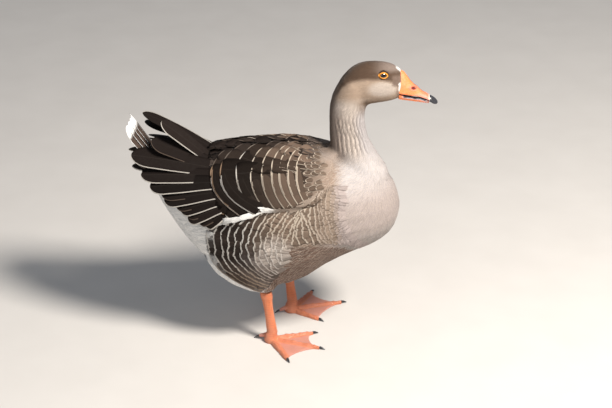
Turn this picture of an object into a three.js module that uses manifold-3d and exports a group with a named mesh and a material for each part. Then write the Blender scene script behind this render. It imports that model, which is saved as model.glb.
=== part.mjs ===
// A domestic goose standing still, life size, as a set of closed solids.
// Millimetres, +Z up, the goose faces +X and its right side is -Y. The floor is z = 0.
// The solids give the outline out to the tips of the feathers.
import * as THREE from "three";
import { mergeVertices } from "three/addons/utils/BufferGeometryUtils.js";
import Module from "manifold-3d";

const wasm = await Module();
wasm.setup();

// ---------------------------------------------------------------- driving dimensions
const SEAM = 0.4; // gap between two solids that meet
const RIGHT = -1; // the sign of y on each side
const LEFT = 1;

// Trunk sections from vent to breast: x, height of the back, height of the belly, half width.
const TRUNK_ROWS = [
  [-232, 305, 293, 6],
  [-226, 322, 268, 30],
  [-205, 336, 232, 52],
  [-175, 345, 188, 76],
  [-140, 354, 150, 98],
  [-95, 361, 119, 112],
  [-40, 368, 99, 120],
  [20, 371, 100, 122],
  [75, 361, 137, 116],
  [120, 348, 161, 103],
  [160, 334, 174, 83],
  [190, 311, 192, 58],
  [206, 286, 214, 34],
  [214, 254, 242, 6],
];
// Neck sections from inside the breast to inside the skull: x, z, radius front to back, radius sideways.
const NECK_ROWS = [
  [118, 200, 56, 48],
  [130, 262, 68, 72],
  [138, 296, 61, 66],
  [134, 322, 50, 55],
  [127, 345, 42, 45],
  [119, 368, 38, 37.5],
  [115, 393, 35.8, 33],
  [113.5, 420, 33.8, 30.5],
  [116, 443, 33, 29.5],
  [122.5, 464, 31.4, 28.8],
  [132, 484, 26, 25],
  [141, 498, 12, 12],
];
// Thin cuts across the neck: the middle of each cut, its radius, and its lean toward the throat in degrees.
const NECK_CUTS = {
  base: { x: 121, z: 369, radius: 47, lean: 0 },
  middle: { x: 115, z: 409, radius: 50, lean: 0 },
  skull: { x: 119, z: 453, radius: 41, lean: 29 },
};

// Head sections in the head's own upright frame: x, crown, chin, half width.
const HEAD_ROWS = [
  [99, 484, 468, 5],
  [103, 491, 457, 15],
  [111, 500, 446, 23],
  [122, 510.5, 441, 28],
  [140, 518.8, 440, 30.5],
  [165, 520.5, 444, 30],
  [187, 517.5, 447.5, 26],
  [199, 512, 451, 22],
  [208, 505.5, 455, 18.5],
];
const HEAD_PIVOT = new THREE.Vector3(125, 0, 455);
const HEAD_ROLL = THREE.MathUtils.degToRad(-12); // the crown leans to the left

const BILL_BASE = 208 + SEAM;
const NAIL_BASE = 258;
// Upper mandible: x, culmen height, cutting edge height, half width.
const UPPER_BILL_ROWS = [
  [BILL_BASE, 506, 466.5, 17.5],
  [214, 499.5, 466.3, 16.6],
  [220, 491.5, 466, 15.6],
  [227, 482.5, 465.6, 14.5],
  [236, 474.5, 464.5, 13.2],
  [245, 467.5, 461.5, 12],
  [252, 463.5, 458, 11],
  [NAIL_BASE, 460, 454, 9.6],
];
const NAIL_ROWS = [
  [NAIL_BASE + SEAM, 459.8, 453.5, 9.4],
  [264, 457, 448.5, 8],
  [269, 453.5, 445.5, 5.6],
  [272.5, 449.5, 446, 2],
];
// Lower mandible: x, upper edge height, keel height, half width.
const LOWER_BILL_ROWS = [
  [BILL_BASE, 465.7, 454, 14.6],
  [220, 464.4, 453.6, 13.2],
  [232, 462.6, 453, 11.8],
  [244, 459.6, 451.8, 10.4],
  [252, 456, 450.6, 8.8],
  [257, 453, 449.4, 6],
];
const EYE = { x: 175.5, y: 20.2, z: 496.5, radius: 8.2 };

// Each wing is a shell over the trunk's side, with a fan of flight feathers behind it.
const WING = { proud: 6, sunk: 9, fromMidline: 6, top: 420, reach: 160 };
// The folded wing's side outline, as x and z: along its lower edge from the shoulder to the rear corner,
// then up its rear edge. A bend is the control point of a curve.
const WING_EDGE = {
  shoulder: [92, 350],
  shoulderBend: [90, 316],
  wrist: [60, 299],
  middle: [-4, 290],
  flankBend: [-42, 281],
  flank: [-70, 262],
  corner: [-98, 260],
  rearBend: [-125, 300],
  rear: [-132, 352],
};
// Behind the rear edge short feathers cover the flight feathers' roots, as far as these points.
const ROOT_EDGE = { corner: 262, bend: [-150, 272], rear: [-188, 322] };
// Flight feathers of a folded wing, top to bottom: root, tip (x, y outward, z), width, and how far the
// flat side turns up from facing sideways, in degrees. The left wing lies looser over the rump, so its
// upper feathers end elsewhere and lie flatter.
const FLIGHT_FEATHERS = [
  { root: [-136, 24, 356], tip: [-211, 38, 424], width: 29, lean: 45 },
  { root: [-136, 52, 346], tip: [-265, 50, 366], width: 40, lean: 34 },
  { root: [-150, 50, 338], tip: [-266, 30, 336], width: 18, lean: 26 },
  { root: [-136, 68, 336], tip: [-248, 62, 333], width: 34, lean: 26 },
  { root: [-134, 79, 327], tip: [-232, 75, 316], width: 34, lean: 22 },
  { root: [-129, 91, 312], tip: [-207, 85, 294], width: 32, lean: 18 },
  { root: [-124, 99, 299], tip: [-178, 94, 279], width: 29, lean: 16 },
  { root: [-116, 106, 288], tip: [-165, 99, 263], width: 27, lean: 14 },
  { root: [-106, 110, 279], tip: [-134, 105, 254], width: 24, lean: 12 },
];
const LOOSER_LEFT_FEATHERS = [
  { tip: [-249, 30, 414], lean: 105 },
  { tip: [-247, 40, 392], lean: 95 },
  { tip: [-277, 30, 342], lean: 26 },
  { tip: [-242, 50, 362], lean: 80 },
  { tip: [-233, 60, 338], lean: 55 },
];
const ROOT_SUNK = 0.22; // share of a flight feather's length that is under the coverts
const FEATHER_THICKNESS = 3.2;

const TAIL = {
  root: new THREE.Vector3(-190, 0, 312),
  pitch: THREE.MathUtils.degToRad(49),
  spread: THREE.MathUtils.degToRad(17),
  length: 134,
  width: 36,
  count: 5,
};
// The covered base of the tail: share of the tail's length, half width, half thickness.
const RUMP_ROWS = [
  [-0.22, 34, 26],
  [0.0, 41, 22],
  [0.2, 34, 12],
  [0.36, 25, 6],
  [0.45, 16, 2.5],
];

// Legs: the hock and the ankle, then the toes' tips from the ankle (x, outward), to the end of the flesh.
const LEGS = {
  right: {
    side: RIGHT,
    hock: [-31, 62, 106],
    ankle: [-20, 60, 18],
    toes: { inner: [74, -26], middle: [86, 30], outer: [28, 72] },
  },
  left: {
    side: LEFT,
    hock: [6, 62, 106],
    ankle: [16, 57, 18],
    toes: { inner: [50, -38], middle: [92, 30], outer: [36, 72] },
  },
};
const THIGH_TOP = [-84, 60];
// Thigh sections from the top down: height, share of the way from THIGH_TOP to the hock, half length and
// half width.
const THIGH_ROWS = [
  [222, 0.0, 26, 16],
  [212, 0.02, 46, 31],
  [185, 0.1, 61, 42],
  [157, 0.26, 62, 43],
  [131, 0.46, 52, 37],
  [114, 0.66, 38, 30],
  [105.5, 0.84, 22, 20],
  [103, 1.0, 12.5, 11.5],
];
// Shank sections: share of the way down, radius front to back, radius sideways.
const SHANK_ROWS = [
  [0.02, 10.6, 9],
  [0.1, 11.8, 9.6],
  [0.24, 9.4, 7.4],
  [0.55, 8.6, 6.2],
  [0.84, 9.6, 7.4],
  [1.0, 10.6, 10.2],
];
const ANKLE_RADIUS = 12.5;
const HEEL_SET_BACK = 2; // the toes spread from just behind the ankle's middle
const WEB = { thickness: 3, reach: 0.955, hollow: 0.74 }; // the last two are shares of the toes' length
const HIND_TOE = { from: [-4, -4, 13], to: [-24, -9, 6.5], radius: 5.2, tipRadius: 3.2 }; // from the ankle
const TOE = { width: 6.2, height: 10.5, tipWidth: 3.8, tipHeight: 6 };
const CLAW = { length: 10, radius: 2.9, lift: 0.6 };

// ---------------------------------------------------------------- finishes
const finish = (color, roughness) => new THREE.MeshStandardMaterial({ color, roughness, metalness: 0 });
const brownPlumage = finish(0x4a3c33, 0.85);
const palePlumage = finish(0xcdbfae, 0.9);
const crownPlumage = finish(0x7a6656, 0.9);
const tailPlumage = finish(0xe9e5df, 0.85);
const orangeBill = finish(0xe98a4a, 0.45);
const blackHorn = finish(0x22242a, 0.35);
const orangeSkin = finish(0xdf7a4c, 0.55);
const darkEye = finish(0x1c120c, 0.08);

// ---------------------------------------------------------------- solids from rings
const vector = (x, y, z) => new THREE.Vector3(x, y, z);
const mix = THREE.MathUtils.lerp;

// The row at t (0 to 1) on a smooth curve through all the rows.
function rowAt(rows, t) {
  const place = t * (rows.length - 1);
  const i = Math.min(Math.floor(place), rows.length - 2);
  const u = place - i;
  const row = (k) => rows[THREE.MathUtils.clamp(k, 0, rows.length - 1)];
  return rows[0].map((_, c) => {
    const [p0, p1, p2, p3] = [i - 1, i, i + 1, i + 2].map((k) => row(k)[c]);
    const bend = 2 * p0 - 5 * p1 + 4 * p2 - p3 + (3 * (p1 - p2) + p3 - p0) * u;
    return p1 + 0.5 * u * (p2 - p0 + u * bend);
  });
}

// One closed egg-shaped ring: `rise` above its centre, `drop` below, rounder or squarer by `power`.
function ring(centre, side, up, halfWidth, rise, drop, count, power = 2) {
  const swell = (v) => Math.sign(v) * Math.abs(v) ** (2 / power);
  return Array.from({ length: count }, (_, i) => {
    const angle = (2 * Math.PI * i) / count;
    const across = halfWidth * swell(Math.sin(angle));
    const high = swell(Math.cos(angle));
    return centre
      .clone()
      .addScaledVector(side, across)
      .addScaledVector(up, high * (high > 0 ? rise : drop));
  });
}

// A closed body with the rings as its skin and a fan of triangles over each end.
function skinOver(rings) {
  const count = rings[0].length;
  const points = rings.flat();
  const middle = (r) => r.reduce((sum, p) => sum.add(p), vector(0, 0, 0)).divideScalar(count);
  points.push(middle(rings[0]), middle(rings[rings.length - 1]));
  const first = points.length - 2;
  const last = points.length - 1;
  const start = (rings.length - 1) * count;
  const index = [];
  for (let i = 0; i < count; i++) {
    const next = (i + 1) % count;
    for (let k = 0; k < rings.length - 1; k++) {
      const a = k * count;
      const b = a + count;
      index.push(a + i, b + i, a + next, a + next, b + i, b + next);
    }
    index.push(first, i, next, last, start + next, start + i);
  }
  const geometry = new THREE.BufferGeometry().setFromPoints(points);
  geometry.setIndex(index);
  return geometry;
}

// A closed mesh as a solid for joining and cutting, with its faces turned outward.
function solid(geometry, matrix) {
  const plain = (geometry.index ? geometry.toNonIndexed() : geometry.clone());
  plain.deleteAttribute("normal");
  plain.deleteAttribute("uv");
  if (matrix) plain.applyMatrix4(matrix);
  const merged = mergeVertices(plain, 1e-3);
  const build = (triVerts) =>
    new wasm.Manifold(
      new wasm.Mesh({ numProp: 3, vertProperties: merged.attributes.position.array, triVerts }),
    );
  const triVerts = new Uint32Array(merged.index.array);
  const made = build(triVerts);
  return made.volume() < 0 ? build(triVerts.toReversed()) : made;
}

// Back from a solid to a geometry. Crumbs that a cut leaves beside the main body are dropped.
function geometryOf(manifold) {
  const body = manifold.decompose().reduce((a, b) => (a.volume() > b.volume() ? a : b));
  const mesh = body.getMesh();
  const geometry = new THREE.BufferGeometry();
  geometry.setAttribute("position", new THREE.BufferAttribute(mesh.vertProperties, 3));
  geometry.setIndex(new THREE.BufferAttribute(mesh.triVerts, 1));
  return geometry;
}

const joined = (solids) => solids.reduce((a, b) => a.add(b));

function named(name, geometry, material) {
  const mesh = new THREE.Mesh(geometry, material);
  mesh.name = name;
  return mesh;
}

// ---------------------------------------------------------------- trunk, neck and head
const SIDE = vector(0, 1, 0);
const UP = vector(0, 0, 1);
const BODY = { rings: 22, around: 22 };

// The trunk's outline, grown outward by `grow` all round.
function trunkBody(grow = 0) {
  const rings = Array.from({ length: BODY.rings }, (_, i) => {
    const t = i / (BODY.rings - 1);
    const [x, back, belly, width] = rowAt(TRUNK_ROWS, t);
    const half = Math.max((back - belly) / 2 + grow, 1);
    const centre = vector(x + grow * (2 * t - 1), 0, (back + belly) / 2);
    return ring(centre, SIDE, UP, Math.max(width + grow, 1), half, half, BODY.around, 2.1);
  });
  return solid(skinOver(rings));
}

function neckBody(grow = 0) {
  const ringCount = 18;
  const rings = Array.from({ length: ringCount }, (_, i) => {
    const t = i / (ringCount - 1);
    const [x, z, long, wide] = rowAt(NECK_ROWS, t);
    const [nextX, nextZ] = rowAt(NECK_ROWS, Math.min(t + 0.01, 1));
    const [lastX, lastZ] = rowAt(NECK_ROWS, Math.max(t - 0.01, 0));
    const along = vector(nextX - lastX, 0, nextZ - lastZ).normalize();
    const front = vector(along.z, 0, -along.x);
    return ring(vector(x, 0, z), SIDE, front, wide + grow, long + grow, long + grow, 20);
  });
  return solid(skinOver(rings));
}

// A thin disc that parts the neck.
function neckCut({ x, z, radius, lean }) {
  const disc = new THREE.CylinderGeometry(radius, radius, SEAM, 32);
  disc.rotateX(Math.PI / 2);
  disc.rotateY(THREE.MathUtils.degToRad(lean));
  disc.translate(x, 0, z);
  return solid(disc);
}

// Sections that stand upright along x: rows of x, top, bottom and half width.
function uprightBody(rows, { ringCount, count, power = 2, widest = 0.5 }) {
  const rings = Array.from({ length: ringCount }, (_, i) => {
    const [x, top, bottom, width] = rowAt(rows, i / (ringCount - 1));
    const middle = mix(bottom, top, widest);
    return ring(vector(x, 0, middle), SIDE, UP, width, top - middle, middle - bottom, count, power);
  });
  return skinOver(rings);
}

// The head's group turns its upright frame about the pivot at the top of the neck.
function headGroup() {
  const group = new THREE.Group();
  const turned = new THREE.Group();
  group.position.copy(HEAD_PIVOT);
  group.rotation.x = HEAD_ROLL;
  turned.position.copy(HEAD_PIVOT).negate();
  group.add(turned);
  group.updateMatrixWorld(true);
  return { group, turned };
}

// ---------------------------------------------------------------- wings and tail
// The wing's side outline over the trunk, widened by `gap`.
function wingOutline(gap) {
  const { shoulder, shoulderBend, wrist, middle, flankBend, flank, corner, rearBend, rear } = WING_EDGE;
  const outline = new THREE.Shape();
  outline.moveTo(shoulder[0] + gap, WING.top);
  outline.lineTo(shoulder[0] + gap, shoulder[1]);
  outline.quadraticCurveTo(shoulderBend[0] + gap, shoulderBend[1] - gap, wrist[0], wrist[1] - gap);
  outline.lineTo(middle[0], middle[1] - gap);
  outline.quadraticCurveTo(flankBend[0], flankBend[1] - gap, flank[0], flank[1] - gap);
  outline.lineTo(corner[0] - gap, corner[1] - gap);
  outline.quadraticCurveTo(rearBend[0] - gap, rearBend[1], rear[0] - gap, rear[1]);
  outline.lineTo(rear[0] - gap, WING.top);
  return outline;
}

// The side and rump just behind the wing's rear edge, where the flight feathers are rooted.
function rootOutline() {
  const { corner, rearBend, rear } = WING_EDGE;
  const outline = new THREE.Shape();
  outline.moveTo(corner[0] - SEAM, ROOT_EDGE.corner);
  outline.quadraticCurveTo(rearBend[0] - SEAM, rearBend[1], rear[0] - SEAM, rear[1]);
  outline.lineTo(rear[0] - SEAM, WING.top);
  outline.lineTo(ROOT_EDGE.rear[0], WING.top);
  outline.lineTo(...ROOT_EDGE.rear);
  outline.quadraticCurveTo(...ROOT_EDGE.bend, corner[0] - SEAM, ROOT_EDGE.corner);
  return outline;
}

// An outline in x and z drawn out sideways, from near the midline to past the flank.
function sideways(outline, side, from) {
  const options = { depth: WING.reach, bevelEnabled: false, curveSegments: 5 };
  const geometry = new THREE.ExtrudeGeometry(outline, options);
  geometry.rotateX(Math.PI / 2);
  geometry.translate(0, side > 0 ? WING.reach + from : -from, 0);
  return solid(geometry);
}

// One long flat feather: parallel sides, a round tip, and a slight bow outward.
function vane({ root, tip, width, facing, bow = 3, thickness = FEATHER_THICKNESS }) {
  const along = tip.clone().sub(root);
  const direction = along.clone().normalize();
  const across = direction.clone().cross(facing).normalize();
  const outward = across.clone().cross(direction).normalize();
  if (outward.dot(facing) < 0) outward.negate();
  const stations = [0, 0.75, 0.92, 1];
  const rings = stations.map((t) => {
    const round = t < 0.78 ? mix(0.84, 1, t / 0.78) : Math.sqrt(1 - ((t - 0.78) / 0.226) ** 2);
    const thick = (thickness / 2) * mix(1, 0.45, t);
    const centre = root.clone().addScaledVector(along, t);
    centre.addScaledVector(outward, bow * Math.sin(Math.PI * t));
    return ring(centre, outward, across, thick, (width / 2) * round, (width / 2) * round, 6, 1.7);
  });
  return solid(skinOver(rings));
}

// The flight feathers of one side, rooted in a thin layer of short feathers over the rump.
function flightFan(side, trunk) {
  const place = ([x, y, z]) => vector(x, side * y, z);
  const looser = side === LEFT ? LOOSER_LEFT_FEATHERS : [];
  const feathers = FLIGHT_FEATHERS.map((feather, i) => {
    const { root, tip, width, lean } = { ...feather, ...looser[i] };
    const turn = THREE.MathUtils.degToRad(lean);
    const facing = vector(0, side * Math.cos(turn), Math.sin(turn));
    return vane({ root: place(root).lerp(place(tip), -ROOT_SUNK), tip: place(tip), width, facing });
  });
  const band = trunkBody(WING.proud - 1)
    .subtract(trunk)
    .intersect(sideways(rootOutline(), side, 2 * WING.fromMidline));
  return joined([...feathers, band]).subtract(trunk);
}

const tailAxis = () => vector(-Math.cos(TAIL.pitch), 0, Math.sin(TAIL.pitch));
const tailTop = () => vector(Math.sin(TAIL.pitch), 0, Math.cos(TAIL.pitch));

// The base of the tail, a flattened cone of short feathers that runs from the rump onto the tail.
function rumpBody(grow = 0) {
  const ahead = tailAxis();
  const facing = tailTop();
  const rings = RUMP_ROWS.map(([share, wide, thick], i) => {
    const reach = i === RUMP_ROWS.length - 1 ? grow : 0;
    const centre = TAIL.root.clone().addScaledVector(ahead, TAIL.length * share + reach);
    centre.addScaledVector(facing, -0.25 * thick);
    return ring(centre, SIDE, facing, wide + grow, thick + grow, thick + grow, 14);
  });
  return solid(skinOver(rings));
}

function tailFan(trunk) {
  const facing = tailTop();
  const feathers = Array.from({ length: TAIL.count }, (_, i) => {
    const turn = mix(-TAIL.spread, TAIL.spread, i / (TAIL.count - 1));
    const ahead = tailAxis().multiplyScalar(Math.cos(turn)).setY(Math.sin(turn));
    const arch = 6 * (turn / TAIL.spread) ** 2; // the outer feathers lie lower
    const root = TAIL.root.clone().addScaledVector(facing, -arch);
    const tip = root.clone().addScaledVector(ahead, TAIL.length);
    return vane({ root, tip, width: TAIL.width, facing, bow: -3 });
  });
  return joined(feathers).subtract(trunk);
}

// ---------------------------------------------------------------- legs
const ALONG = vector(1, 0, 0);

function thighBody({ side, hock }, grow = 0) {
  const ringCount = 9;
  const rings = Array.from({ length: ringCount }, (_, i) => {
    const [height, share, long, wide] = rowAt(THIGH_ROWS, i / (ringCount - 1));
    const ease = THREE.MathUtils.smoothstep(share, 0, 1);
    const centre = vector(mix(THIGH_TOP[0], hock[0], ease), side * mix(THIGH_TOP[1], hock[1], ease), height);
    centre.z += i === 0 ? grow : 0;
    return ring(centre, SIDE, ALONG, wide + grow, long + grow, long + grow, 16);
  });
  return solid(skinOver(rings));
}

function shankGeometry({ side, hock, ankle }) {
  const top = vector(hock[0], side * hock[1], THIGH_ROWS.at(-1)[0] - SEAM);
  const end = vector(ankle[0], side * ankle[1], ankle[2] + SEAM);
  const ringCount = 9;
  const rings = Array.from({ length: ringCount }, (_, i) => {
    const [share, long, wide] = rowAt(SHANK_ROWS, i / (ringCount - 1));
    const place = i === 0 ? 0 : share;
    return ring(top.clone().lerp(end, place), SIDE, ALONG, wide, long, long, 12);
  });
  return skinOver(rings);
}

// A toe lies flat on the floor: rings with a flat sole, a little thicker at each joint.
function toeSolid(from, to) {
  const along = to.clone().sub(from);
  const side = vector(-along.y, along.x, 0).normalize();
  const ringCount = 6;
  const rings = Array.from({ length: ringCount }, (_, i) => {
    const t = i / (ringCount - 1);
    const knuckle = 1 + 0.07 * Math.cos(5 * Math.PI * t);
    const width = mix(TOE.width, TOE.tipWidth, t) * knuckle;
    const height = mix(TOE.height, TOE.tipHeight, t) * knuckle;
    return Array.from({ length: 6 }, (_, k) => {
      const angle = (Math.PI * k) / 5;
      const place = from.clone().addScaledVector(along, t).addScaledVector(side, width * Math.cos(angle));
      return place.setZ(height * Math.sin(angle));
    });
  });
  return solid(skinOver(rings));
}

// The web is a thin plate between the toes, with a hollow front edge.
function webSolid(base, toes) {
  const { inner, middle, outer } = toes;
  const at = (toe, share) => base.clone().lerp(toe, share).toArray().slice(0, 2);
  const hollow = (a, b) => at(a.clone().add(b).multiplyScalar(0.5), WEB.hollow);
  const outline = new THREE.Shape();
  outline.moveTo(base.x, base.y);
  outline.lineTo(...at(inner, WEB.reach));
  outline.quadraticCurveTo(...hollow(inner, middle), ...at(middle, WEB.reach));
  outline.quadraticCurveTo(...hollow(middle, outer), ...at(outer, WEB.reach));
  outline.lineTo(base.x, base.y);
  const options = { depth: WEB.thickness, bevelEnabled: false, curveSegments: 7 };
  return solid(new THREE.ExtrudeGeometry(outline, options));
}

function ankleSolid(base, height) {
  const profile = [
    [0, 0],
    [ANKLE_RADIUS, 0],
    [ANKLE_RADIUS + 0.6, 6],
    [ANKLE_RADIUS - 1.2, height - 3],
    [ANKLE_RADIUS - 2.6, height],
    [0, height],
  ].map(([r, z]) => new THREE.Vector2(r, z));
  const geometry = new THREE.LatheGeometry(profile, 14);
  geometry.rotateX(Math.PI / 2);
  geometry.translate(base.x, base.y, 0);
  return solid(geometry);
}

// The small hind toe hangs from the back of the ankle, its tip just over the floor.
function hindToe({ side, ankle }) {
  const place = ([back, inward, height]) => vector(ankle[0] + back, side * (ankle[1] + inward), height);
  const from = place(HIND_TOE.from);
  const to = place(HIND_TOE.to);
  const along = to.clone().sub(from).normalize();
  const across = along.clone().cross(UP).normalize();
  const over = across.clone().cross(along);
  const rings = [0, 0.5, 1].map((t) => {
    const radius = mix(HIND_TOE.radius, HIND_TOE.tipRadius, t);
    return ring(from.clone().lerp(to, t), across, over, radius, radius, radius, 8);
  });
  return { body: solid(skinOver(rings)), tip: to, along };
}

// A claw is a short bent cone beyond a toe's flat end.
function clawMesh(name, tip, along, radius) {
  const across = vector(-along.y, along.x, 0).normalize();
  const over = along.clone().cross(across);
  if (over.z < 0) over.negate();
  const start = tip.clone().addScaledVector(along, SEAM);
  const rings = [0, 0.5, 1].map((t) => {
    const size = radius * mix(1, 0.22, t ** 1.4);
    const centre = start.clone().addScaledVector(along, CLAW.length * t);
    centre.z = mix(start.z, CLAW.lift + size, t);
    return ring(centre, across, over, size * 0.85, size, size, 6);
  });
  return named(name, geometryOf(solid(skinOver(rings))), blackHorn);
}

function legMeshes(key) {
  const leg = LEGS[key];
  const [x, y, height] = leg.ankle;
  const base = vector(x - HEEL_SET_BACK, leg.side * y, 0);
  const toes = Object.fromEntries(
    Object.entries(leg.toes).map(([toe, [ahead, out]]) => [toe, vector(x + ahead, leg.side * (y + out), 0)]),
  );
  const hind = hindToe(leg);
  const foot = joined([
    ankleSolid(base, height),
    ...Object.values(toes).map((tip) => toeSolid(base, tip)),
    webSolid(base, toes),
    hind.body,
  ]);
  const claws = Object.entries(toes).map(([toe, tip]) => {
    const along = tip.clone().sub(base).normalize();
    const place = tip.clone().setZ(CLAW.radius + CLAW.lift);
    return clawMesh(`claw_${key}_${toe}`, place, along, CLAW.radius);
  });
  return [
    named(`thigh_${key}`, geometryOf(thighBody(leg)), brownPlumage),
    named(`shank_${key}`, shankGeometry(leg), orangeSkin),
    named(`foot_${key}`, geometryOf(foot), orangeSkin),
    clawMesh(`claw_${key}_hind`, hind.tip, hind.along, CLAW.radius * 0.8),
    ...claws,
  ];
}

// ---------------------------------------------------------------- assembly
const goose = new THREE.Group();

// Bill and eyes stand in the leaning head frame.
const { group: leaning, turned: headFrame } = headGroup();
const BALL = { around: 10, high: 7 };
const eyeball = (side) => {
  const geometry = new THREE.SphereGeometry(EYE.radius, BALL.around, BALL.high);
  const eye = named(side === RIGHT ? "eye_right" : "eye_left", geometry, darkEye);
  eye.position.set(EYE.x, side * EYE.y, EYE.z);
  return eye;
};
const eyeSocket = (side) => {
  const socket = new THREE.SphereGeometry(EYE.radius + SEAM, BALL.around, BALL.high);
  socket.translate(EYE.x, side * EYE.y, EYE.z);
  return solid(socket, headFrame.matrixWorld);
};
// `widest` is the height of the broadest level: the cutting edge of each mandible.
const billPart = (rows, ringCount, widest) => uprightBody(rows, { ringCount, widest, count: 16, power: 1.9 });
headFrame.add(
  named("bill_upper", billPart(UPPER_BILL_ROWS, 9, 0.06), orangeBill),
  named("bill_nail", billPart(NAIL_ROWS, 5, 0.12), blackHorn),
  named("bill_lower", billPart(LOWER_BILL_ROWS, 7, 0.94), orangeBill),
  eyeball(RIGHT),
  eyeball(LEFT),
);
goose.add(leaning);

// Head, neck and trunk are one flesh, parted by thin cuts and hollowed for what lies in or over them.
const skull = uprightBody(HEAD_ROWS, { ringCount: 14, count: 20, widest: 0.48, power: 2.1 });
let flesh = joined([trunkBody(), rumpBody(), neckBody(), solid(skull, headFrame.matrixWorld)]);
const hollows = [eyeSocket(RIGHT), eyeSocket(LEFT), ...Object.values(NECK_CUTS).map(neckCut)];

// Wings lie over the trunk's sides, with the flight feathers behind them.
const wingShell = trunkBody(WING.proud).subtract(trunkBody(-WING.sunk));
const wingRoom = trunkBody(3 * WING.proud).subtract(trunkBody(-WING.sunk - SEAM));
const clearance = joined([trunkBody(SEAM), rumpBody(SEAM)]);
for (const [key, side] of [
  ["right", RIGHT],
  ["left", LEFT],
]) {
  const armRoom = wingRoom.intersect(sideways(wingOutline(SEAM), side, WING.fromMidline - SEAM));
  const arm = wingShell.intersect(sideways(wingOutline(0), side, WING.fromMidline)).subtract(neckBody(SEAM));
  const flight = flightFan(side, clearance).subtract(armRoom);
  hollows.push(armRoom.subtract(neckBody()), thighBody(LEGS[key], SEAM));
  goose.add(
    named(`wing_${key}`, geometryOf(arm), brownPlumage),
    named(`flight_feathers_${key}`, geometryOf(flight), brownPlumage),
  );
}
for (const hollow of hollows) flesh = flesh.subtract(hollow);

// The cuts leave four pieces: from the trunk, which is the largest, up to the head.
const pieces = flesh.decompose().filter((piece) => piece.volume() > 1000);
const height = (piece) => piece.boundingBox().max[2];
pieces.sort((a, b) => height(a) - height(b));
const FLESH = [
  ["trunk", palePlumage],
  ["neck_lower", palePlumage],
  ["neck_upper", palePlumage],
  ["head", crownPlumage],
];
FLESH.forEach(([name, material], i) => goose.add(named(name, geometryOf(pieces[i]), material)));
goose.add(named("tail", geometryOf(tailFan(clearance)), tailPlumage));
goose.add(...legMeshes("right"), ...legMeshes("left"));

// The origin is on the floor, under the middle of the whole goose.
goose.updateMatrixWorld(true);
const extent = new THREE.Box3().setFromObject(goose, true);
const middle = extent.getCenter(vector(0, 0, 0));
goose.position.set(-middle.x, -middle.y, -extent.min.z);
const part = new THREE.Group();
part.add(goose);

export default part;
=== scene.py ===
# %% [markdown]
# # A domestic goose, standing
# The animal is built in layers, the way a taxidermist would: a skin over the body, then the
# plumage laid over the skin feather by feather, then the bill, eyes, legs and claws.
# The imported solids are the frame. They say where every part is, and nothing here moves them.

# %% The frame and the tools
import math

import bmesh
import bpy
import numpy as np
from mathutils import Matrix, Vector
from mathutils.bvhtree import BVHTree


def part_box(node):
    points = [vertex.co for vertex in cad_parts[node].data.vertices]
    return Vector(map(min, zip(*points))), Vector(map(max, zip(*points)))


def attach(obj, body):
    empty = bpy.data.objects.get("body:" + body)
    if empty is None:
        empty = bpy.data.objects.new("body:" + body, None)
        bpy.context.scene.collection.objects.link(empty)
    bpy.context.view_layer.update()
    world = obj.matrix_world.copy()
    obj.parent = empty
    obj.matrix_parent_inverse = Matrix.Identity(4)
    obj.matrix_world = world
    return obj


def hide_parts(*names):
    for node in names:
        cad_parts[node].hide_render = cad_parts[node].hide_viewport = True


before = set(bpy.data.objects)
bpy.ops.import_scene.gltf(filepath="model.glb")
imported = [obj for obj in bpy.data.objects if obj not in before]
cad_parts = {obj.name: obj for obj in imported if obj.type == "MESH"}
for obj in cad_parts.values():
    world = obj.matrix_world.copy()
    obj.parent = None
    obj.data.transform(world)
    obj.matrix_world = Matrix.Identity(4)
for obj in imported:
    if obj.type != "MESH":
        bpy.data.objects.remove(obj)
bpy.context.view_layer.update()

MM = 0.001  # lengths are worked out in millimetres, and meshes are made in metres
RIGHT = -1  # the goose walks along +X, so its right side is towards -Y
LEFT = 1
SIDES = {"right": RIGHT, "left": LEFT}
rng = np.random.default_rng(20)
print("the frame's solids:", len(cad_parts))

# %% [markdown]
# ## Camera, floor and light
# A long lens from the goose's right, looking down a little, shows the bird as someone
# standing a few steps away does. It is aimed from the right eye, because the head is what
# has to sit right in the picture. The floor is plain and pale. One big soft lamp high on the
# goose's front right gives the round body its form, and the pale sky fills the shade.


# %% Camera
EYE_TO_AIM = Vector((-0.1341, 0.0111, -0.2518))  # from the eye to what the lens is aimed at
LENS_DISTANCE = 3.5
LENS_PITCH = math.radians(25)  # how steeply the camera looks down
VIEW_WIDTH = 1.1016  # how much of the scene the picture spans, where it is aimed
SENSOR_WIDTH = 36


def middle_of(node):
    low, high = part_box(node)
    return (low + high) / 2


camera_data = bpy.data.cameras.new("camera")
camera_data.lens = SENSOR_WIDTH * LENS_DISTANCE / VIEW_WIDTH
camera_data.sensor_width = SENSOR_WIDTH
camera = bpy.data.objects.new("camera", camera_data)
bpy.context.scene.collection.objects.link(camera)
back = Vector((0, -math.cos(LENS_PITCH), math.sin(LENS_PITCH)))
camera.location = middle_of("eye_right") + EYE_TO_AIM + back * LENS_DISTANCE
camera.rotation_euler = back.to_track_quat("Z", "Y").to_euler()
bpy.context.scene.camera = camera
print("camera at", [round(v, 3) for v in camera.location])


# %% Materials: a few short helpers
def new_material(name):
    """A material. Returns it with its Principled BSDF and a Wiring for its tree."""
    material = bpy.data.materials.new(name)
    material.use_nodes = True
    tree = material.node_tree
    return material, tree.nodes["Principled BSDF"], Wiring(tree)


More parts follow.
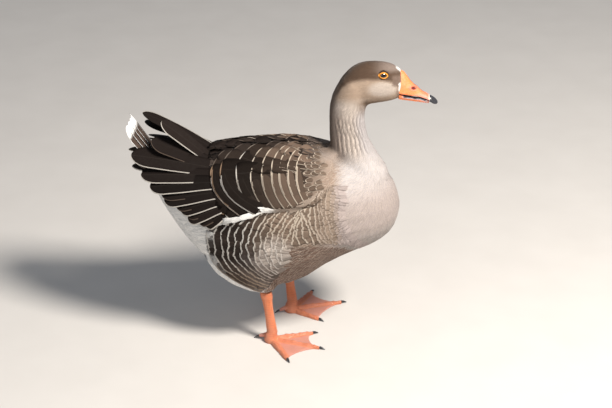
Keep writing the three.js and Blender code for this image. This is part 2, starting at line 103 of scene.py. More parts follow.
class Wiring:
    """Adds nodes to a shader tree and joins them, in short lines."""

    def __init__(self, tree):
        self.tree = tree

    def plug(self, value, socket):
        """Links a socket to another one, or gives it a value."""
        if isinstance(value, bpy.types.NodeSocket):
            self.tree.links.new(value, socket)
        else:
            socket.default_value = value

    def feed(self, made, **values):
        """Plugs values into a node's sockets by name."""
        for key, value in values.items():
            self.plug(value, made.inputs[key.replace("_", " ")])
        return made

    def node(self, kind, settings=None, **values):
        """A node. `settings` are its own properties, `values` its sockets by name."""
        made = self.tree.nodes.new(kind)
        for key, value in (settings or {}).items():
            setattr(made, key, value)
        return self.feed(made, **values)

    def math(self, operation, a, b=0.0):
        made = self.node("ShaderNodeMath", {"operation": operation})
        self.plug(a, made.inputs[0])
        self.plug(b, made.inputs[1])
        return made.outputs[0]

    def plus(self, a, b):
        return self.math("ADD", a, b)

    def minus(self, a, b):
        return self.math("SUBTRACT", a, b)

    def times(self, a, b):
        return self.math("MULTIPLY", a, b)

    def ramp(self, value, start, end, low=0.0, high=1.0):
        """Goes smoothly from low to high as value goes from start to end."""
        made = self.node("ShaderNodeMapRange", {"interpolation_type": "SMOOTHSTEP"})
        for socket, number in zip(made.inputs, (value, start, end, low, high)):
            self.plug(number, socket)
        return made.outputs[0]

    def mix(self, factor, a, b, kind="MIX"):
        """Two colours mixed: a where the factor is 0, b where it is 1."""
        made = self.node("ShaderNodeMix", {"data_type": "RGBA", "blend_type": kind})
        colour_sockets = (made.inputs[0], made.inputs[6], made.inputs[7])
        for socket, value in zip(colour_sockets, (factor, a, b)):
            self.plug(value, socket)
        return made.outputs[2]

    def noise(self, place, scale, detail=3.0):
        made = self.node("ShaderNodeTexNoise", Vector=place, Scale=scale, Detail=detail)
        return made.outputs["Fac"]

    def place(self):
        return self.node("ShaderNodeTexCoord").outputs["Object"]

    def attribute(self, name, output="Color"):
        return self.node("ShaderNodeAttribute", {"attribute_name": name}).outputs[output]

    def bump(self, height, distance):
        return self.node("ShaderNodeBump", Height=height, Distance=distance).outputs["Normal"]


def linear(red, green, blue):
    return (red, green, blue, 1.0)


# %% Floor and lights
FLOOR_REACH = 6.0
FLOOR_TONES = (linear(0.60, 0.575, 0.55), linear(0.66, 0.635, 0.61))
BODY_MIDDLE = Vector((0, 0, 0.25))  # what the lamps are aimed at
SKY = linear(0.80, 0.86, 0.95)
SKY_STRENGTH = 0.28


def make_floor():
    mesh = bpy.data.meshes.new("floor")
    r = FLOOR_REACH
    mesh.from_pydata([(-r, -r, 0), (r, -r, 0), (r, r, 0), (-r, r, 0)], [], [(0, 1, 2, 3)])
    floor = bpy.data.objects.new("floor", mesh)
    bpy.context.scene.collection.objects.link(floor)
    material, shader, w = new_material("studio_floor")
    grain = w.noise(w.place(), 9.0, 2.0)
    w.feed(shader, Base_Color=w.mix(grain, *FLOOR_TONES), Roughness=0.9)
    mesh.materials.append(material)


def make_lamp(name, toward, distance, size, power, colour):
    """A round lamp in the direction `toward`, turned to the middle of the body."""
    data = bpy.data.lights.new(name, "AREA")
    data.shape = "DISK"
    data.size = size
    data.energy = power
    data.color = colour
    lamp = bpy.data.objects.new(name, data)
    bpy.context.scene.collection.objects.link(lamp)
    direction = Vector(toward).normalized()
    lamp.location = BODY_MIDDLE + direction * distance
    lamp.rotation_euler = direction.to_track_quat("Z", "Y").to_euler()


make_floor()
make_lamp("key_lamp", (0.62, -0.60, 1.0), distance=3.0, size=0.8, power=165, colour=(1.0, 0.94, 0.86))
make_lamp("fill_lamp", (-0.8, -1.0, 0.7), distance=3.5, size=2.4, power=12, colour=(0.9, 0.95, 1.0))
world = bpy.data.worlds.new("studio")
world.use_nodes = True
sky = world.node_tree.nodes["Background"]
Wiring(world.node_tree).feed(sky, Color=SKY, Strength=SKY_STRENGTH)
bpy.context.scene.world = world
bpy.context.scene.view_settings.view_transform = "Standard"
print("floor, lamps and sky are set")

# %% [markdown]
# ## The skin
# Under its plumage a goose is one smooth body. The solids of its flesh were parted with thin
# cuts, so they are joined again with a voxel remesh, which makes one even net of small
# faces, and the facets are relaxed away. Then the whole skin is drawn inward by the depth of
# the plumage, so that the feathers laid over it bring the outline back to where it was.

# %% Joining and smoothing solids
FRAME_SHIFT = np.array([3.107, 1.682, 0.0])  # from the goose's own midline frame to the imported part
FLESH = ["trunk", "neck_lower", "neck_upper", "head"]
FLESH += ["thigh_right", "thigh_left", "wing_right", "wing_left"]


def refined(nodes, label, voxel, rounds):
    """One even, smooth mesh over the named solids. Returns its vertices (mm) and its faces."""
    bm = bmesh.new()
    for node in nodes:
        bm.from_mesh(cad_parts[node].data)
    mesh = bpy.data.meshes.new(label)
    bm.to_mesh(mesh)
    bm.free()
    mesh.transform(Matrix.Scale(1 / MM, 4))
    made = bpy.data.objects.new(label, mesh)
    bpy.context.scene.collection.objects.link(made)
    remesh = made.modifiers.new("even", "REMESH")
    remesh.mode = "VOXEL"
    remesh.voxel_size = voxel
    relax = made.modifiers.new("relax", "SMOOTH")
    relax.factor = 0.5
    relax.iterations = rounds
    bpy.context.view_layer.update()
    result = made.evaluated_get(bpy.context.evaluated_depsgraph_get()).to_mesh()
    points = np.empty(len(result.vertices) * 3)
    result.vertices.foreach_get("co", points)
    faces = [tuple(p.vertices) for p in result.polygons]
    made.to_mesh_clear()
    bpy.data.objects.remove(made)
    bpy.data.meshes.remove(mesh)
    return points.reshape(-1, 3) - FRAME_SHIFT, faces


def fade(low, high, value):
    """Goes smoothly from 0 to 1 as value goes from low to high, and back if low is the greater."""
    t = np.clip((value - low) / (high - low), 0, 1)
    return t * t * (3 - 2 * t)


def unit(vectors):
    return vectors / np.maximum(np.linalg.norm(vectors, axis=-1, keepdims=True), 1e-9)


def point_normals(points, faces):
    """Smooth normals at the points of a net of quads and triangles."""
    square = np.array([f if len(f) == 4 else (*f, f[2]) for f in faces])
    one_way = points[square[:, 2]] - points[square[:, 0]]
    other_way = points[square[:, 3]] - points[square[:, 1]]
    normal = np.cross(one_way, other_way)
    total = np.zeros_like(points)
    for corner in range(4):
        np.add.at(total, square[:, corner], normal)
    return unit(total)


# %% The head's own frame
HEAD_TILT = math.radians(12)  # the head is rolled towards its left
HEAD_PIVOT = 455.0  # the height the roll turns about
NECK_TURN = (405, 452)  # the heights between which the neck takes up the roll


def rolled(points, turn):
    """Points turned about the line that runs along X at the pivot's height."""
    y = points[..., 1]
    z = points[..., 2] - HEAD_PIVOT
    c = np.cos(turn)
    s = np.sin(turn)
    return np.stack([points[..., 0], y * c - z * s, HEAD_PIVOT + y * s + z * c], -1)


def head_place(points):
    """Points as the head sees them, with its midline upright at y = 0."""
    return rolled(points, HEAD_TILT * fade(*NECK_TURN, points[..., 2]))


def from_head(points):
    """The other way, for points of the head."""
    return rolled(points, -HEAD_TILT)


# %% The skin's surface
SKIN_VOXEL = 2.6
HEAD_COAT = 1.0  # how deep the plumage lies over the head,
NECK_COAT = 2.6  # how much deeper it is on the neck
BODY_COAT = 0.9  # and how much deeper again on the body
skin_points, skin_faces = refined(FLESH, "skin", SKIN_VOXEL, 9)
skin_normals = point_normals(skin_points, skin_faces)
height = skin_points[:, 2]
down_neck = fade(455, 400, height)
on_body = fade(370, 330, height)
coat_depth = HEAD_COAT + NECK_COAT * down_neck + BODY_COAT * on_body
skin_points = skin_points - skin_normals * coat_depth[:, None]
skin_tree = BVHTree.FromPolygons(skin_points.tolist(), skin_faces)
print("skin:", len(skin_points), "points,", len(skin_faces), "faces")


def mesh_object(name, points, faces, replaced=()):
    """Makes an object from points in millimetres, and hands it to the frame."""
    mesh = bpy.data.meshes.new(name)
    counts = np.array([len(face) for face in faces])
    loops = np.concatenate([np.asarray(face) for face in faces])
    starts = np.concatenate([[0], np.cumsum(counts)[:-1]])
    mesh.vertices.add(len(points))
    mesh.vertices.foreach_set("co", ((np.asarray(points) + FRAME_SHIFT) * MM).ravel())
    mesh.loops.add(len(loops))
    mesh.loops.foreach_set("vertex_index", loops.astype(np.int32))
    mesh.polygons.add(len(counts))
    mesh.polygons.foreach_set("loop_start", starts.astype(np.int32))
    mesh.polygons.foreach_set("use_smooth", np.ones(len(counts), bool))
    mesh.update(calc_edges=True)
    mesh.validate()
    made = bpy.data.objects.new(name, mesh)
    bpy.context.scene.collection.objects.link(made)
    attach(made, "root")
    if replaced:
        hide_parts(*replaced)
    return made


def paint(made, name, colours):
    """Stores one colour (or three numbers) for each point of the mesh."""
    full = np.ones((len(colours), 4), np.float32)
    full[:, :3] = colours
    layer = made.data.attributes.new(name, "FLOAT_COLOR", "POINT")
    layer.data.foreach_set("color", full.ravel())


# %% Unwrapping the skin
skin = mesh_object("skin", skin_points, skin_faces, FLESH)


def unwrap(made):
    """Unwraps a mesh by its own shape into a map named OFBake."""
    made.data.uv_layers.new(name="OFBake")
    for other in bpy.context.selected_objects:
        other.select_set(False)
    bpy.context.view_layer.objects.active = made
    made.select_set(True)
    bpy.ops.object.mode_set(mode="EDIT")
    bpy.ops.mesh.select_all(action="SELECT")
    bpy.ops.uv.smart_project(angle_limit=math.radians(66), island_margin=0.002)
    bpy.ops.object.mode_set(mode="OBJECT")
    made.select_set(False)
    flat = np.empty(len(made.data.loops) * 2)
    made.data.uv_layers["OFBake"].data.foreach_get("uv", flat)
    return flat.reshape(-1, 2)


skin_uv = unwrap(skin)
skin_starts = np.empty(len(skin.data.polygons), np.int32)
skin.data.polygons.foreach_get("loop_start", skin_starts)
skin_map = np.array([skin_uv[start : start + 3].mean(0) for start in skin_starts])
print("skin unwrapped")

# %% [markdown]
# ## Where the colours lie
# The same markings are worn by the skin and by the feathers over it, so they are written
# once, as soft-edged patches laid over each other; a few of these patches are painted shade.
# Each place gets a body colour and the colour of the feather's rim there. Patches are masks of place, so
# both sides are alike.

# %% Colours by name
CREAM = (0.36, 0.305, 0.29)
PALE_CREAM = (0.46, 0.43, 0.43)
# cream darkened as painted shade, for the breast where it turns under
CREAM_IN_PAINTED_SHADE = (0.31, 0.285, 0.275)
# the belly's own grey-brown, darkened further with painted shade where the body turns under
BELLY_BROWN_AND_SHADE = (0.148, 0.097, 0.075)
TAN = (0.29, 0.215, 0.17)
SIDE_BROWN = (0.20, 0.145, 0.11)
FLANK_DARK = (0.026, 0.019, 0.016)
MOTTLE = (0.43, 0.375, 0.335)
# the back's own dark brown, deepened with painted shade
BACK_DARK_AND_SHADE = (0.018, 0.013, 0.011)
MANTLE = (0.12, 0.09, 0.075)
RIM_CREAM = (0.72, 0.62, 0.52)
WHITE = (0.76, 0.75, 0.73)
NECK_TAN = (0.53, 0.455, 0.40)
CAP = (0.09, 0.057, 0.039)
CAP_FRONT = (0.22, 0.17, 0.145)
NAPE = (0.15, 0.108, 0.082)
CHEEK = (0.37, 0.275, 0.205)
CHEEK_PALE = (0.49, 0.415, 0.36)
# painted shade under the jaw
THROAT_SHADE = (0.14, 0.085, 0.045)
LORES = (0.17, 0.12, 0.095)


def over(base, colour, mask):
    """Lays a colour over others where the mask is 1."""
    mask = np.asarray(mask)[..., None]
    return base * (1 - mask) + np.asarray(colour) * mask


def layered(points, ground, *patches):
    """A colour for each point: the ground's, with patches of (colour, mask) laid over in turn."""
    colours = np.ones_like(points) * ground
    for colour, mask in patches:
        colours = over(colours, colour, mask)
    return colours


def patch(value, centre, reach, soft):
    """1 where value is within reach of centre, fading out over soft."""
    return fade(reach + soft, reach, np.abs(value - centre))


def spot(points, centre, radii):
    """A soft patch seen from the side, at X and Z: 1 at its centre, 0 beyond its radii."""
    across = (points[..., 0] - centre[0]) / radii[0]
    up = (points[..., 2] - centre[1]) / radii[1]
    return fade(1.0, 0.45, np.hypot(across, up))


def along_line(value, line):
    """The height of a line drawn through (place, height) stations."""
    places, heights = zip(*line)
    return np.interp(value, places, heights)


# %% Lines that bound the colours
# The lower edge of the cap of dark feathers, in the head's own frame.
CAP_EDGE = [(96, 462), (104, 474), (112, 481), (122, 486), (135, 489), (150, 490.5)]
CAP_EDGE += [(168, 489), (186, 486.5), (200, 483), (208, 480)]
NECK_LINE = [(345, 128), (369, 123), (409, 117), (450, 118)]  # (height, X) up the neck's middle
# Where the flank's side turns under, from behind the legs to the breast.
BELLY_LINE = [(-60, 100), (-26, 119), (-21, 128), (-14, 148), (-6, 170), (-1, 193), (5, 212)]
BELLY_LINE += [(12, 218), (36, 220), (52, 219), (69, 217), (87, 214), (101, 209), (115, 201)]
BELLY_LINE += [(128, 190), (150, 168), (190, 140)]
VENT_FRONT = -134  # X of the vent's front edge, which is upright between these two heights
VENT_TOP = 222
VENT_FOOT = 203
THIGH_SPOT = ((-18, 186), (44, 66))  # the mottled thigh: its middle and its radii, along X and Z


def neck_round(points):
    """The neck's bearing: 0 at its back, 1 at its front."""
    ahead = points[..., 0] - along_line(points[..., 2], NECK_LINE)
    bearing = np.arctan2(np.abs(points[..., 1]), -ahead)
    return bearing / math.pi


def furrows(points):
    """The wavy furrows combed down the sides of a goose's neck: 0 in a furrow, 1 on a crest."""
    z = points[..., 2]
    turn = neck_round(points)
    phase = 82 * turn + 0.10 * z + 1.1 * np.sin(z / 8.5 + 5 * turn) + 0.6 * np.sin(z / 3.7 + 11 * turn)
    return 0.5 + 0.5 * np.cos(phase)


def furrow_reach(points):
    """How strong the furrows are: fullest on the sides of the neck."""
    z = points[..., 2]
    turn = neck_round(points)
    on_sides = fade(0.12, 0.30, turn) * fade(0.92, 0.66, turn)
    return on_sides * fade(350, 374, z) * fade(440, 420, z)


def belly_line(x):
    """Below this height the side turns under into the smooth belly."""
    return along_line(x, BELLY_LINE)


def bowed(z, top, foot, top_bow, foot_bow):
    """How far a line that is upright between two heights has bowed forward above and below."""
    return top_bow * np.maximum(z - top, 0) ** 2 + foot_bow * np.maximum(foot - z, 0) ** 2


def vent_line(z):
    """Behind this X the flank ends and the white vent begins."""
    return VENT_FRONT + bowed(z, VENT_TOP, VENT_FOOT, 0.007, 0.012)


# %% Markings of the body, the neck and the head
def body_marks(points):
    x = points[..., 0]
    y = np.abs(points[..., 1])
    z = points[..., 2]
    side = fade(20, 50, y)
    top = fade(330, 350, z)
    vent = fade(3, -5, x - vent_line(z)) * fade(335, 315, z)
    back = fade(75, 30, x) * top
    tint = layered(
        points,
        CREAM,
        (PALE_CREAM, fade(275, 335, z)),
        # painted shade: the lower breast darkens towards the belly
        (CREAM_IN_PAINTED_SHADE, fade(245, 190, z) * fade(60, 110, x)),
        (TAN, fade(114, 86, x) * fade(195, 240, z) * side),
        (SIDE_BROWN, fade(86, 50, x) * fade(190, 225, z) * side),
        (FLANK_DARK, fade(25, -95, x) * fade(20, 60, y)),
        (MOTTLE, spot(points, *THIGH_SPOT) * fade(40, 70, y)),
        # painted shade: below the turn the belly is darkened, over its own grey-brown
        (BELLY_BROWN_AND_SHADE, fade(3, -6, z - belly_line(x))),
        # painted shade over the back's own dark brown
        (BACK_DARK_AND_SHADE, back),
        (MANTLE, patch(x, 75, 25, 25) * top * fade(60, 20, y)),
        (WHITE, vent),
    )
    pale_rim = tint * 0.55 + np.asarray(RIM_CREAM) * 0.45
    # on the back the rims are darkened too, as part of that painted shade
    return tint, layered(points, pale_rim, (tint * 1.4 + 0.012, back), (WHITE, vent))


def neck_marks(points):
    turn = neck_round(points)
    stripe = fade(0.24, 0.08, turn) * fade(330, 372, points[..., 2])
    # painted shade: the neck is darkened down in its furrows
    furrow = (1 - furrows(points)) ** 1.5 * furrow_reach(points)
    side = layered(
        points,
        NECK_TAN,
        (PALE_CREAM, fade(0.50, 0.80, turn)),
        (TAN, fade(0.46, 0.22, turn) * 0.6),
    )
    tint = over(side * (1 - 0.45 * furrow)[..., None], NAPE, stripe)
    return tint, over(tint * 0.6 + np.asarray(CREAM) * 0.4, tint, stripe)


def head_marks(points):
    """The cheek, the cap, the white line round the bill's base and the dark streak behind it."""
    place = head_place(points)
    x = place[..., 0]
    y = np.abs(place[..., 1])
    z = place[..., 2]
    cap = fade(-5, 5, z - along_line(x, CAP_EDGE))
    lores = fade(12, 6, np.abs(x - 201)) * fade(474, 482, z) * fade(500, 492, z)
    gape = fade(2.6, 1.0, np.abs(x - 201.5)) * fade(452, 458, z) * fade(488, 482, z)
    tint = layered(
        points,
        CHEEK,
        (NECK_TAN, fade(462, 440, z) * fade(165, 130, x)),
        (CHEEK_PALE, spot(place, (176, 473), (34, 18))),
        # painted shade: the throat is darkened under the jaw
        (THROAT_SHADE, fade(456, 446, z) * fade(120, 150, x)),
        (CAP, cap),
        (CAP_FRONT, cap * fade(150, 190, x) * fade(498, 508, z)),
        (LORES, lores),
        (LORES, gape * 0.6),
        (WHITE, fade(197, 201, x) * fade(497, 502, z) * fade(11, 7, y)),
        (WHITE, fade(202.5, 204.5, x) * patch(z, 476, 6, 3) * 0.95),
        (NAPE, fade(0.28, 0.12, neck_round(points)) * fade(104, 96, x)),
    )
    return tint, over(tint * 0.85 + np.asarray(CREAM) * 0.15, tint, cap)


def marks(points):
    """Body colours and rim colours at places on the goose."""
    x = points[..., 0]
    in_neck = fade(335, 372, points[..., 2]) * fade(60, 90, x)
    in_head = fade(418, 450, head_place(points)[..., 2]) * fade(85, 95, x)
    tint, rim = body_marks(points)
    for part, mask in ((neck_marks(points), in_neck), (head_marks(points), in_head)):
        tint = over(tint, part[0], mask)
        rim = over(rim, part[1], mask)
    return tint, rim


skin_colours, _ = marks(skin_points)
paint(skin, "Tint", skin_colours * 0.92)
print("markings worn by the skin")

# %% The skin's material
DOWN_SHADE = linear(0.02, 0.015, 0.012)
material, shader, w = new_material("down_and_skin")
tint = w.attribute("Tint")
down = w.noise(w.place(), 420.0, 4.0)
w.feed(
    shader,
    Base_Color=w.mix(w.ramp(down, 0.3, 0.7, 0.0, 0.15), tint, w.mix(0.5, tint, DOWN_SHADE)),
    Roughness=w.ramp(down, 0.2, 0.8, 0.75, 0.95),
    Normal=w.bump(down, 0.0006),
)
skin.data.materials.append(material)
print("the skin has its material")

# %% [markdown]
# ## How one feather is made
# A body feather is a thin curved blade. It is rooted in the skin, lies back over it, and its
# tip rides on the feathers behind, like a roof tile. So each one is built by walking over
# the skin from its root (or back from its tip) along the lie of the plumage, and raising
# the blade a little more at each step. The blade is a closed lens with a rim, thin at its
# edges, so it is solid however it is seen. Thousands are made at once with numpy.


# %% Walking over the skin
skin_face_normals = unit(np.array([skin_normals[list(f)].mean(0) for f in skin_faces]))


def nearest(points):
    """The nearest places on the skin, the smooth normals there and the faces."""
    places = np.empty_like(points)
    faces = np.empty(len(points), np.int64)
    for i, point in enumerate(points):
        found = skin_tree.find_nearest(point)
        places[i] = found[0]
        faces[i] = found[2]
    return places, skin_face_normals[faces], faces


def on_surface(vectors, normals):
    """Vectors laid flat on the surface."""
    return unit(vectors - (vectors * normals).sum(-1, keepdims=True) * normals)


def march(starts, headings, lengths, shares):
    """Walks from each start. Returns places and normals (feather, station, xyz) and the first faces."""
    here, normal, first = nearest(starts)
    heading = on_surface(headings, normal)
    places = [here]
    normals = [normal]
    for before, share in zip(shares[:-1], shares[1:]):
        here, normal, _ = nearest(here + heading * ((share - before) * lengths)[:, None])
        heading = on_surface(heading, normal)
        places.append(here)
        normals.append(normal)
    return np.stack(places, 1), np.stack(normals, 1), first


# %% The shapes a blade can have: its half width at each station, as a share of the widest
def blade(stations, round_from, blunt, root_width):
    """Stations along a blade, closer towards its tip, and its outline there.

    stations counts them along the sides and round the tip, round_from is where the tip starts
    to round off, and a greater blunt makes it squarer."""
    sides = np.linspace(0, round_from, stations[0], endpoint=False)
    tip = round_from + (1 - round_from) * np.sin(np.linspace(0, math.pi / 2, stations[1]))
    shares = np.sort(np.unique(np.round(np.concatenate([sides, tip]), 4)))
    rise = root_width + (1 - root_width) * fade(0, 0.75 * round_from, shares)
    past = np.clip((shares - round_from) / (1 - round_from), 0, 1)
    fall = (1 - past**blunt) ** (1 / blunt)
    return shares, np.maximum(rise * fall, 0.10)


FINE = blade((2, 2), 0.45, 2.0, 0.6)
BODY = blade((2, 4), 0.45, 2.0, 0.5)
BROAD = blade((4, 6), 0.80, 3.0, 0.6)
SQUARE = blade((3, 6), 0.74, 3.6, 0.6)
print("stations of a fine, a body and a broad feather:", len(FINE[0]), len(BODY[0]), len(BROAD[0]))


# %% Blades from walks
def blades(
    places, normals, shape, half, columns=3, roll=0.0, stand=0.0,
    slope=0.0, sunk=0.0, camber=0.03, thickness=0.3, bend=110.0,
):
    """Points (feather, point, xyz) and the net's faces for blades along the given walks.

    half is the half width, roll tips the blade sideways and stand lifts it all. slope raises
    it along its way, sunk starts it under the skin, camber crowns it, and bend is the radius
    of the body under it."""
    count, stations, _ = places.shape
    width = np.broadcast_to(half, (count,))[:, None] * shape[1]
    side = unit(np.cross(normals, np.gradient(places, axis=1)))
    across = np.linspace(-1, 1, columns)
    steps = np.linalg.norm(np.diff(places, axis=1), axis=-1)
    way = np.concatenate([np.zeros((count, 1)), np.cumsum(steps, 1)], 1)
    lift = way * slope + np.reshape(stand - sunk, (-1, 1))
    crown = camber * (1 - across**2)
    offset = across * width[:, :, None]
    high = lift[:, :, None] + crown * width[:, :, None] - offset**2 / (2 * bend)
    high = high + np.broadcast_to(roll, (count,))[:, None, None] * offset
    top = places[:, :, None] + side[:, :, None] * offset[..., None] + normals[:, :, None] * high[..., None]
    # the rim is shared, so the top and the underside close on each other
    inner = slice(1, columns - 1)
    thin = (thickness * shape[1])[None, :, None, None]
    under = top[:, :, inner] - normals[:, :, None] * thin
    points = np.concatenate([top.reshape(count, -1, 3), under.reshape(count, -1, 3)], 1)
    # each point knows how far it is from the midline and the tip, the width, and its body's facing
    from_tip = (way[:, -1:] - way)[:, :, None] * np.ones(columns)
    vane = np.stack([offset, from_tip, width[:, :, None] * np.ones(columns)], -1)
    facing = np.broadcast_to(normals[:, :, None], top.shape)
    upper = np.concatenate([vane, facing], -1).reshape(count, -1, 6)
    lower = np.concatenate([vane, -facing], -1)[:, :, inner].reshape(count, -1, 6)
    return points, np.concatenate([upper, lower], 1), blade_faces(stations, columns)


def blade_faces(stations, columns):
    """The faces of one blade: its top, its underside and its two blunt ends."""
    last = columns - 1

    def top(s, c):
        return s * columns + c

    def under(s, c):
        if c in (0, last):
            return top(s, c)
        return stations * columns + s * (columns - 2) + c - 1

    faces = []
    for s in range(stations - 1):
        for c in range(last):
            faces.append((top(s + 1, c), top(s + 1, c + 1), top(s, c + 1), top(s, c)))
            faces.append((under(s, c + 1), under(s + 1, c + 1), under(s + 1, c), under(s, c)))
    for s in (0, stations - 1):
        if columns == 3:
            end = [(top(s, 0), under(s, 1), top(s, 2), top(s, 1))]
        else:
            middle = range(1, last - 1)
            end = [(top(s, 0), under(s, 1), top(s, 1))]
            end += [(top(s, c), under(s, c), under(s, c + 1), top(s, c + 1)) for c in middle]
            end += [(top(s, last - 1), under(s, last - 1), top(s, last))]
        faces += [face[::-1] if s == 0 else face for face in end]
    return faces


# %% Joining many blades into one piece
# How far a feather is shaded like the body under it, and not like a stiff blade.
BODY_SHADING = {"soft_plumage": 0.65, "firm_plumage": 0.40}
MAP_SPOT = 0.003  # how wide a feather's place is on the skin's unwrapped map
TRIM_UNIT = 10  # rims and places on the vane are stored in centimetres
FAR = 20.0  # added to the distance of an edge that is to have no pale rim


class Batch:
    """Blades that share one net, with their colours, rims and places on the skin's map."""

    def __init__(self, points, vanes, faces, first, tint, edge, fringe, shaft):
        count, size, _ = points.shape
        self.points = points.reshape(-1, 3)
        self.vanes = vanes[:, :, :3].reshape(-1, 3)
        self.facing = vanes[:, :, 3:].reshape(-1, 3)
        offsets = (np.arange(count) * size)[:, None]
        self.loops = [offsets + np.array(face) for face in faces]
        self.tint = np.repeat(tint, size, 0)
        self.edge = np.repeat(edge, size, 0)
        chance = rng.random(count)
        fringe = np.broadcast_to(fringe, (count,)) / TRIM_UNIT
        trim = np.stack([fringe, np.full(count, shaft), chance], -1)
        self.trim = np.repeat(trim, size, 0)
        widest = vanes[:, :, 2].max(1)[:, None]
        longest = vanes[:, :, 1].max(1)[:, None]
        across = vanes[:, :, 0] / (2 * widest)
        along = 0.5 - vanes[:, :, 1] / longest
        spots = skin_map[first][:, None] + MAP_SPOT * np.stack([across, along], -1)
        self.map = np.clip(spots.reshape(-1, 2), 0.0005, 0.9995)


def plumage_piece(name, batches, material, replaced=()):
    """One object from batches of blades, with the feather attributes its material reads."""
    loops = []
    base = 0
    for batch in batches:
        loops += [corners + base for corners in batch.loops]
        base += len(batch.points)
    loops.sort(key=lambda corners: -corners.shape[1])  # quads first, then triangles
    faces = [tuple(face) for group in loops for face in group.tolist()]

    def joined(part):
        return np.concatenate([getattr(batch, part) for batch in batches])

    made = mesh_object(name, joined("points"), faces, replaced)
    paint(made, "Tint", joined("tint"))
    paint(made, "Edge", joined("edge"))
    paint(made, "Trim", joined("trim"))
    paint(made, "Vane", joined("vanes") / TRIM_UNIT)
    corners = np.empty(len(made.data.loops), np.int32)
    made.data.loops.foreach_get("vertex_index", corners)
    layer = made.data.uv_layers.new(name="OFBake")
    layer.data.foreach_set("uv", joined("map")[corners].ravel().astype(np.float32))
    made.data.materials.append(material)
    # down scatters light, so a feather takes much of its shading from the body under it
    own = np.empty(len(made.data.vertices) * 3, np.float32)
    made.data.vertices.foreach_get("normal", own)
    share = BODY_SHADING[material.name]
    mixed = unit(own.reshape(-1, 3) * (1 - share) + joined("facing") * share)
    made.data.normals_split_custom_set_from_vertices(mixed.tolist())
    print(name, "has", len(faces), "faces")


# %% [markdown]
# ## What a feather looks like
# Every feather has a rim of another colour, a shaft down its middle and fine barbs running
# slantwise to its edges. That is one effect used by all the plumage, so it is a node group.
# It reads how far a place is from the feather's midline and tip, which the mesh carries.


# %% The feather's vane, as a node group
SHAFT_SHADE = linear(0.06, 0.045, 0.035)


def make_vane_group():
    """The node group. Its Softness, Barb Depth and Variety are set by each material."""
    tree = bpy.data.node_groups.new("feather_vane", "ShaderNodeTree")
    sockets = {
        "INPUT": ["Tint", "Edge", "Vane", "Trim", "Softness", "Barb Depth", "Variety"],
        "OUTPUT": ["Colour", "Height", "Roughness"],
    }
    kinds = {"Tint": "Color", "Edge": "Color", "Colour": "Color", "Vane": "Vector", "Trim": "Vector"}
    for way, labels in sockets.items():
        for label in labels:
            kind = "NodeSocket" + kinds.get(label, "Float")
            tree.interface.new_socket(label, in_out=way, socket_type=kind)
    w = Wiring(tree)
    given = tree.nodes.new("NodeGroupInput").outputs
    out = tree.nodes.new("NodeGroupOutput").inputs
    vane = w.node("ShaderNodeSeparateXYZ", Vector=given["Vane"]).outputs
    trim = w.node("ShaderNodeSeparateXYZ", Vector=given["Trim"]).outputs
    across = w.math("ABSOLUTE", vane["X"])
    waver = w.noise(w.place(), 160.0, 3.0)
    # the pale rim: where the nearest edge is closer than the rim is wide
    margin = w.math("MINIMUM", w.times(w.minus(vane["Z"], across), 2.2), vane["Y"])
    margin = w.plus(margin, w.times(w.minus(waver, 0.5), 0.06))
    rim_end = w.times(trim["X"], w.plus(1.0, given["Softness"]))
    rim_start = w.times(trim["X"], w.minus(1.0, given["Softness"]))
    rim = w.ramp(margin, rim_start, rim_end, 1.0, 0.0)
    # barbs leave the shaft slantwise
    slant = w.plus(vane["Y"], w.times(across, 0.9))
    wave = w.math("SINE", w.times(slant, 110.0))
    split = w.noise(w.node("ShaderNodeCombineXYZ", X=slant, Y=trim["Z"]).outputs[0], 30.0, 2.0)
    barbs = w.times(w.plus(wave, w.times(split, 1.5)), given["Barb Depth"])
    # no two feathers are quite as dark
    least = w.minus(1.0, given["Variety"])
    most = w.plus(1.0, given["Variety"])
    chance = w.plus(w.times(trim["Z"], 0.6), w.times(waver, 0.4))
    lively = w.ramp(chance, 0.0, 1.0, least, most)
    lively = w.times(lively, w.ramp(barbs, -0.20, 0.50, 0.80, 1.16))
    grey = w.node("ShaderNodeCombineColor", Red=lively, Green=lively, Blue=lively).outputs[0]
    body = w.mix(1.0, given["Tint"], grey, "MULTIPLY")
    shaft = w.times(w.ramp(across, 0.02, 0.07, 1.0, 0.0), trim["Y"])
    body = w.mix(shaft, body, w.mix(0.75, given["Edge"], SHAFT_SHADE))
    w.plug(w.mix(rim, body, given["Edge"]), out["Colour"])
    w.plug(w.plus(barbs, w.times(shaft, 0.8)), out["Height"])
    w.plug(w.ramp(waver, 0.3, 0.7, 0.55, 0.78), out["Roughness"])
    return tree


vane_group = make_vane_group()


# %% Feathers whose colours are carried by the mesh
def plumage_material(name, softness, barb_depth, sheen, bump, variety):
    material, shader, w = new_material(name)
    looks = w.node(
        "ShaderNodeGroup",
        {"node_tree": vane_group},
        Tint=w.attribute("Tint"),
        Edge=w.attribute("Edge"),
        Vane=w.attribute("Vane", "Vector"),
        Trim=w.attribute("Trim", "Vector"),
        Softness=softness,
        Barb_Depth=barb_depth,
        Variety=variety,
    ).outputs
    w.feed(
        shader,
        Base_Color=looks["Colour"],
        Roughness=looks["Roughness"],
        Normal=w.bump(looks["Height"], bump),
        Sheen_Weight=sheen,
        Sheen_Roughness=0.4,
        Specular_IOR_Level=0.06,
    )
    return material


soft_plumage = plumage_material("soft_plumage", 0.5, 0.16, sheen=0.10, bump=0.00015, variety=0.10)
firm_plumage = plumage_material("firm_plumage", 0.28, 0.22, sheen=0.0, bump=0.0002, variety=0.2)
print("feather materials:", soft_plumage.name, "and", firm_plumage.name)

# %% [markdown]
# ## Scattering feathers over the body
# The soft feathers of the head, neck, breast, belly and back have no strict rows to the eye.
# They are rooted at places that are evenly spaced but irregular: places are tried at random
# over the skin, and one is kept when no kept place is nearer than the spacing. Which way
# each lies comes from one field over the whole bird, back from the bill and down the neck,
# down the breast, and then rearwards.


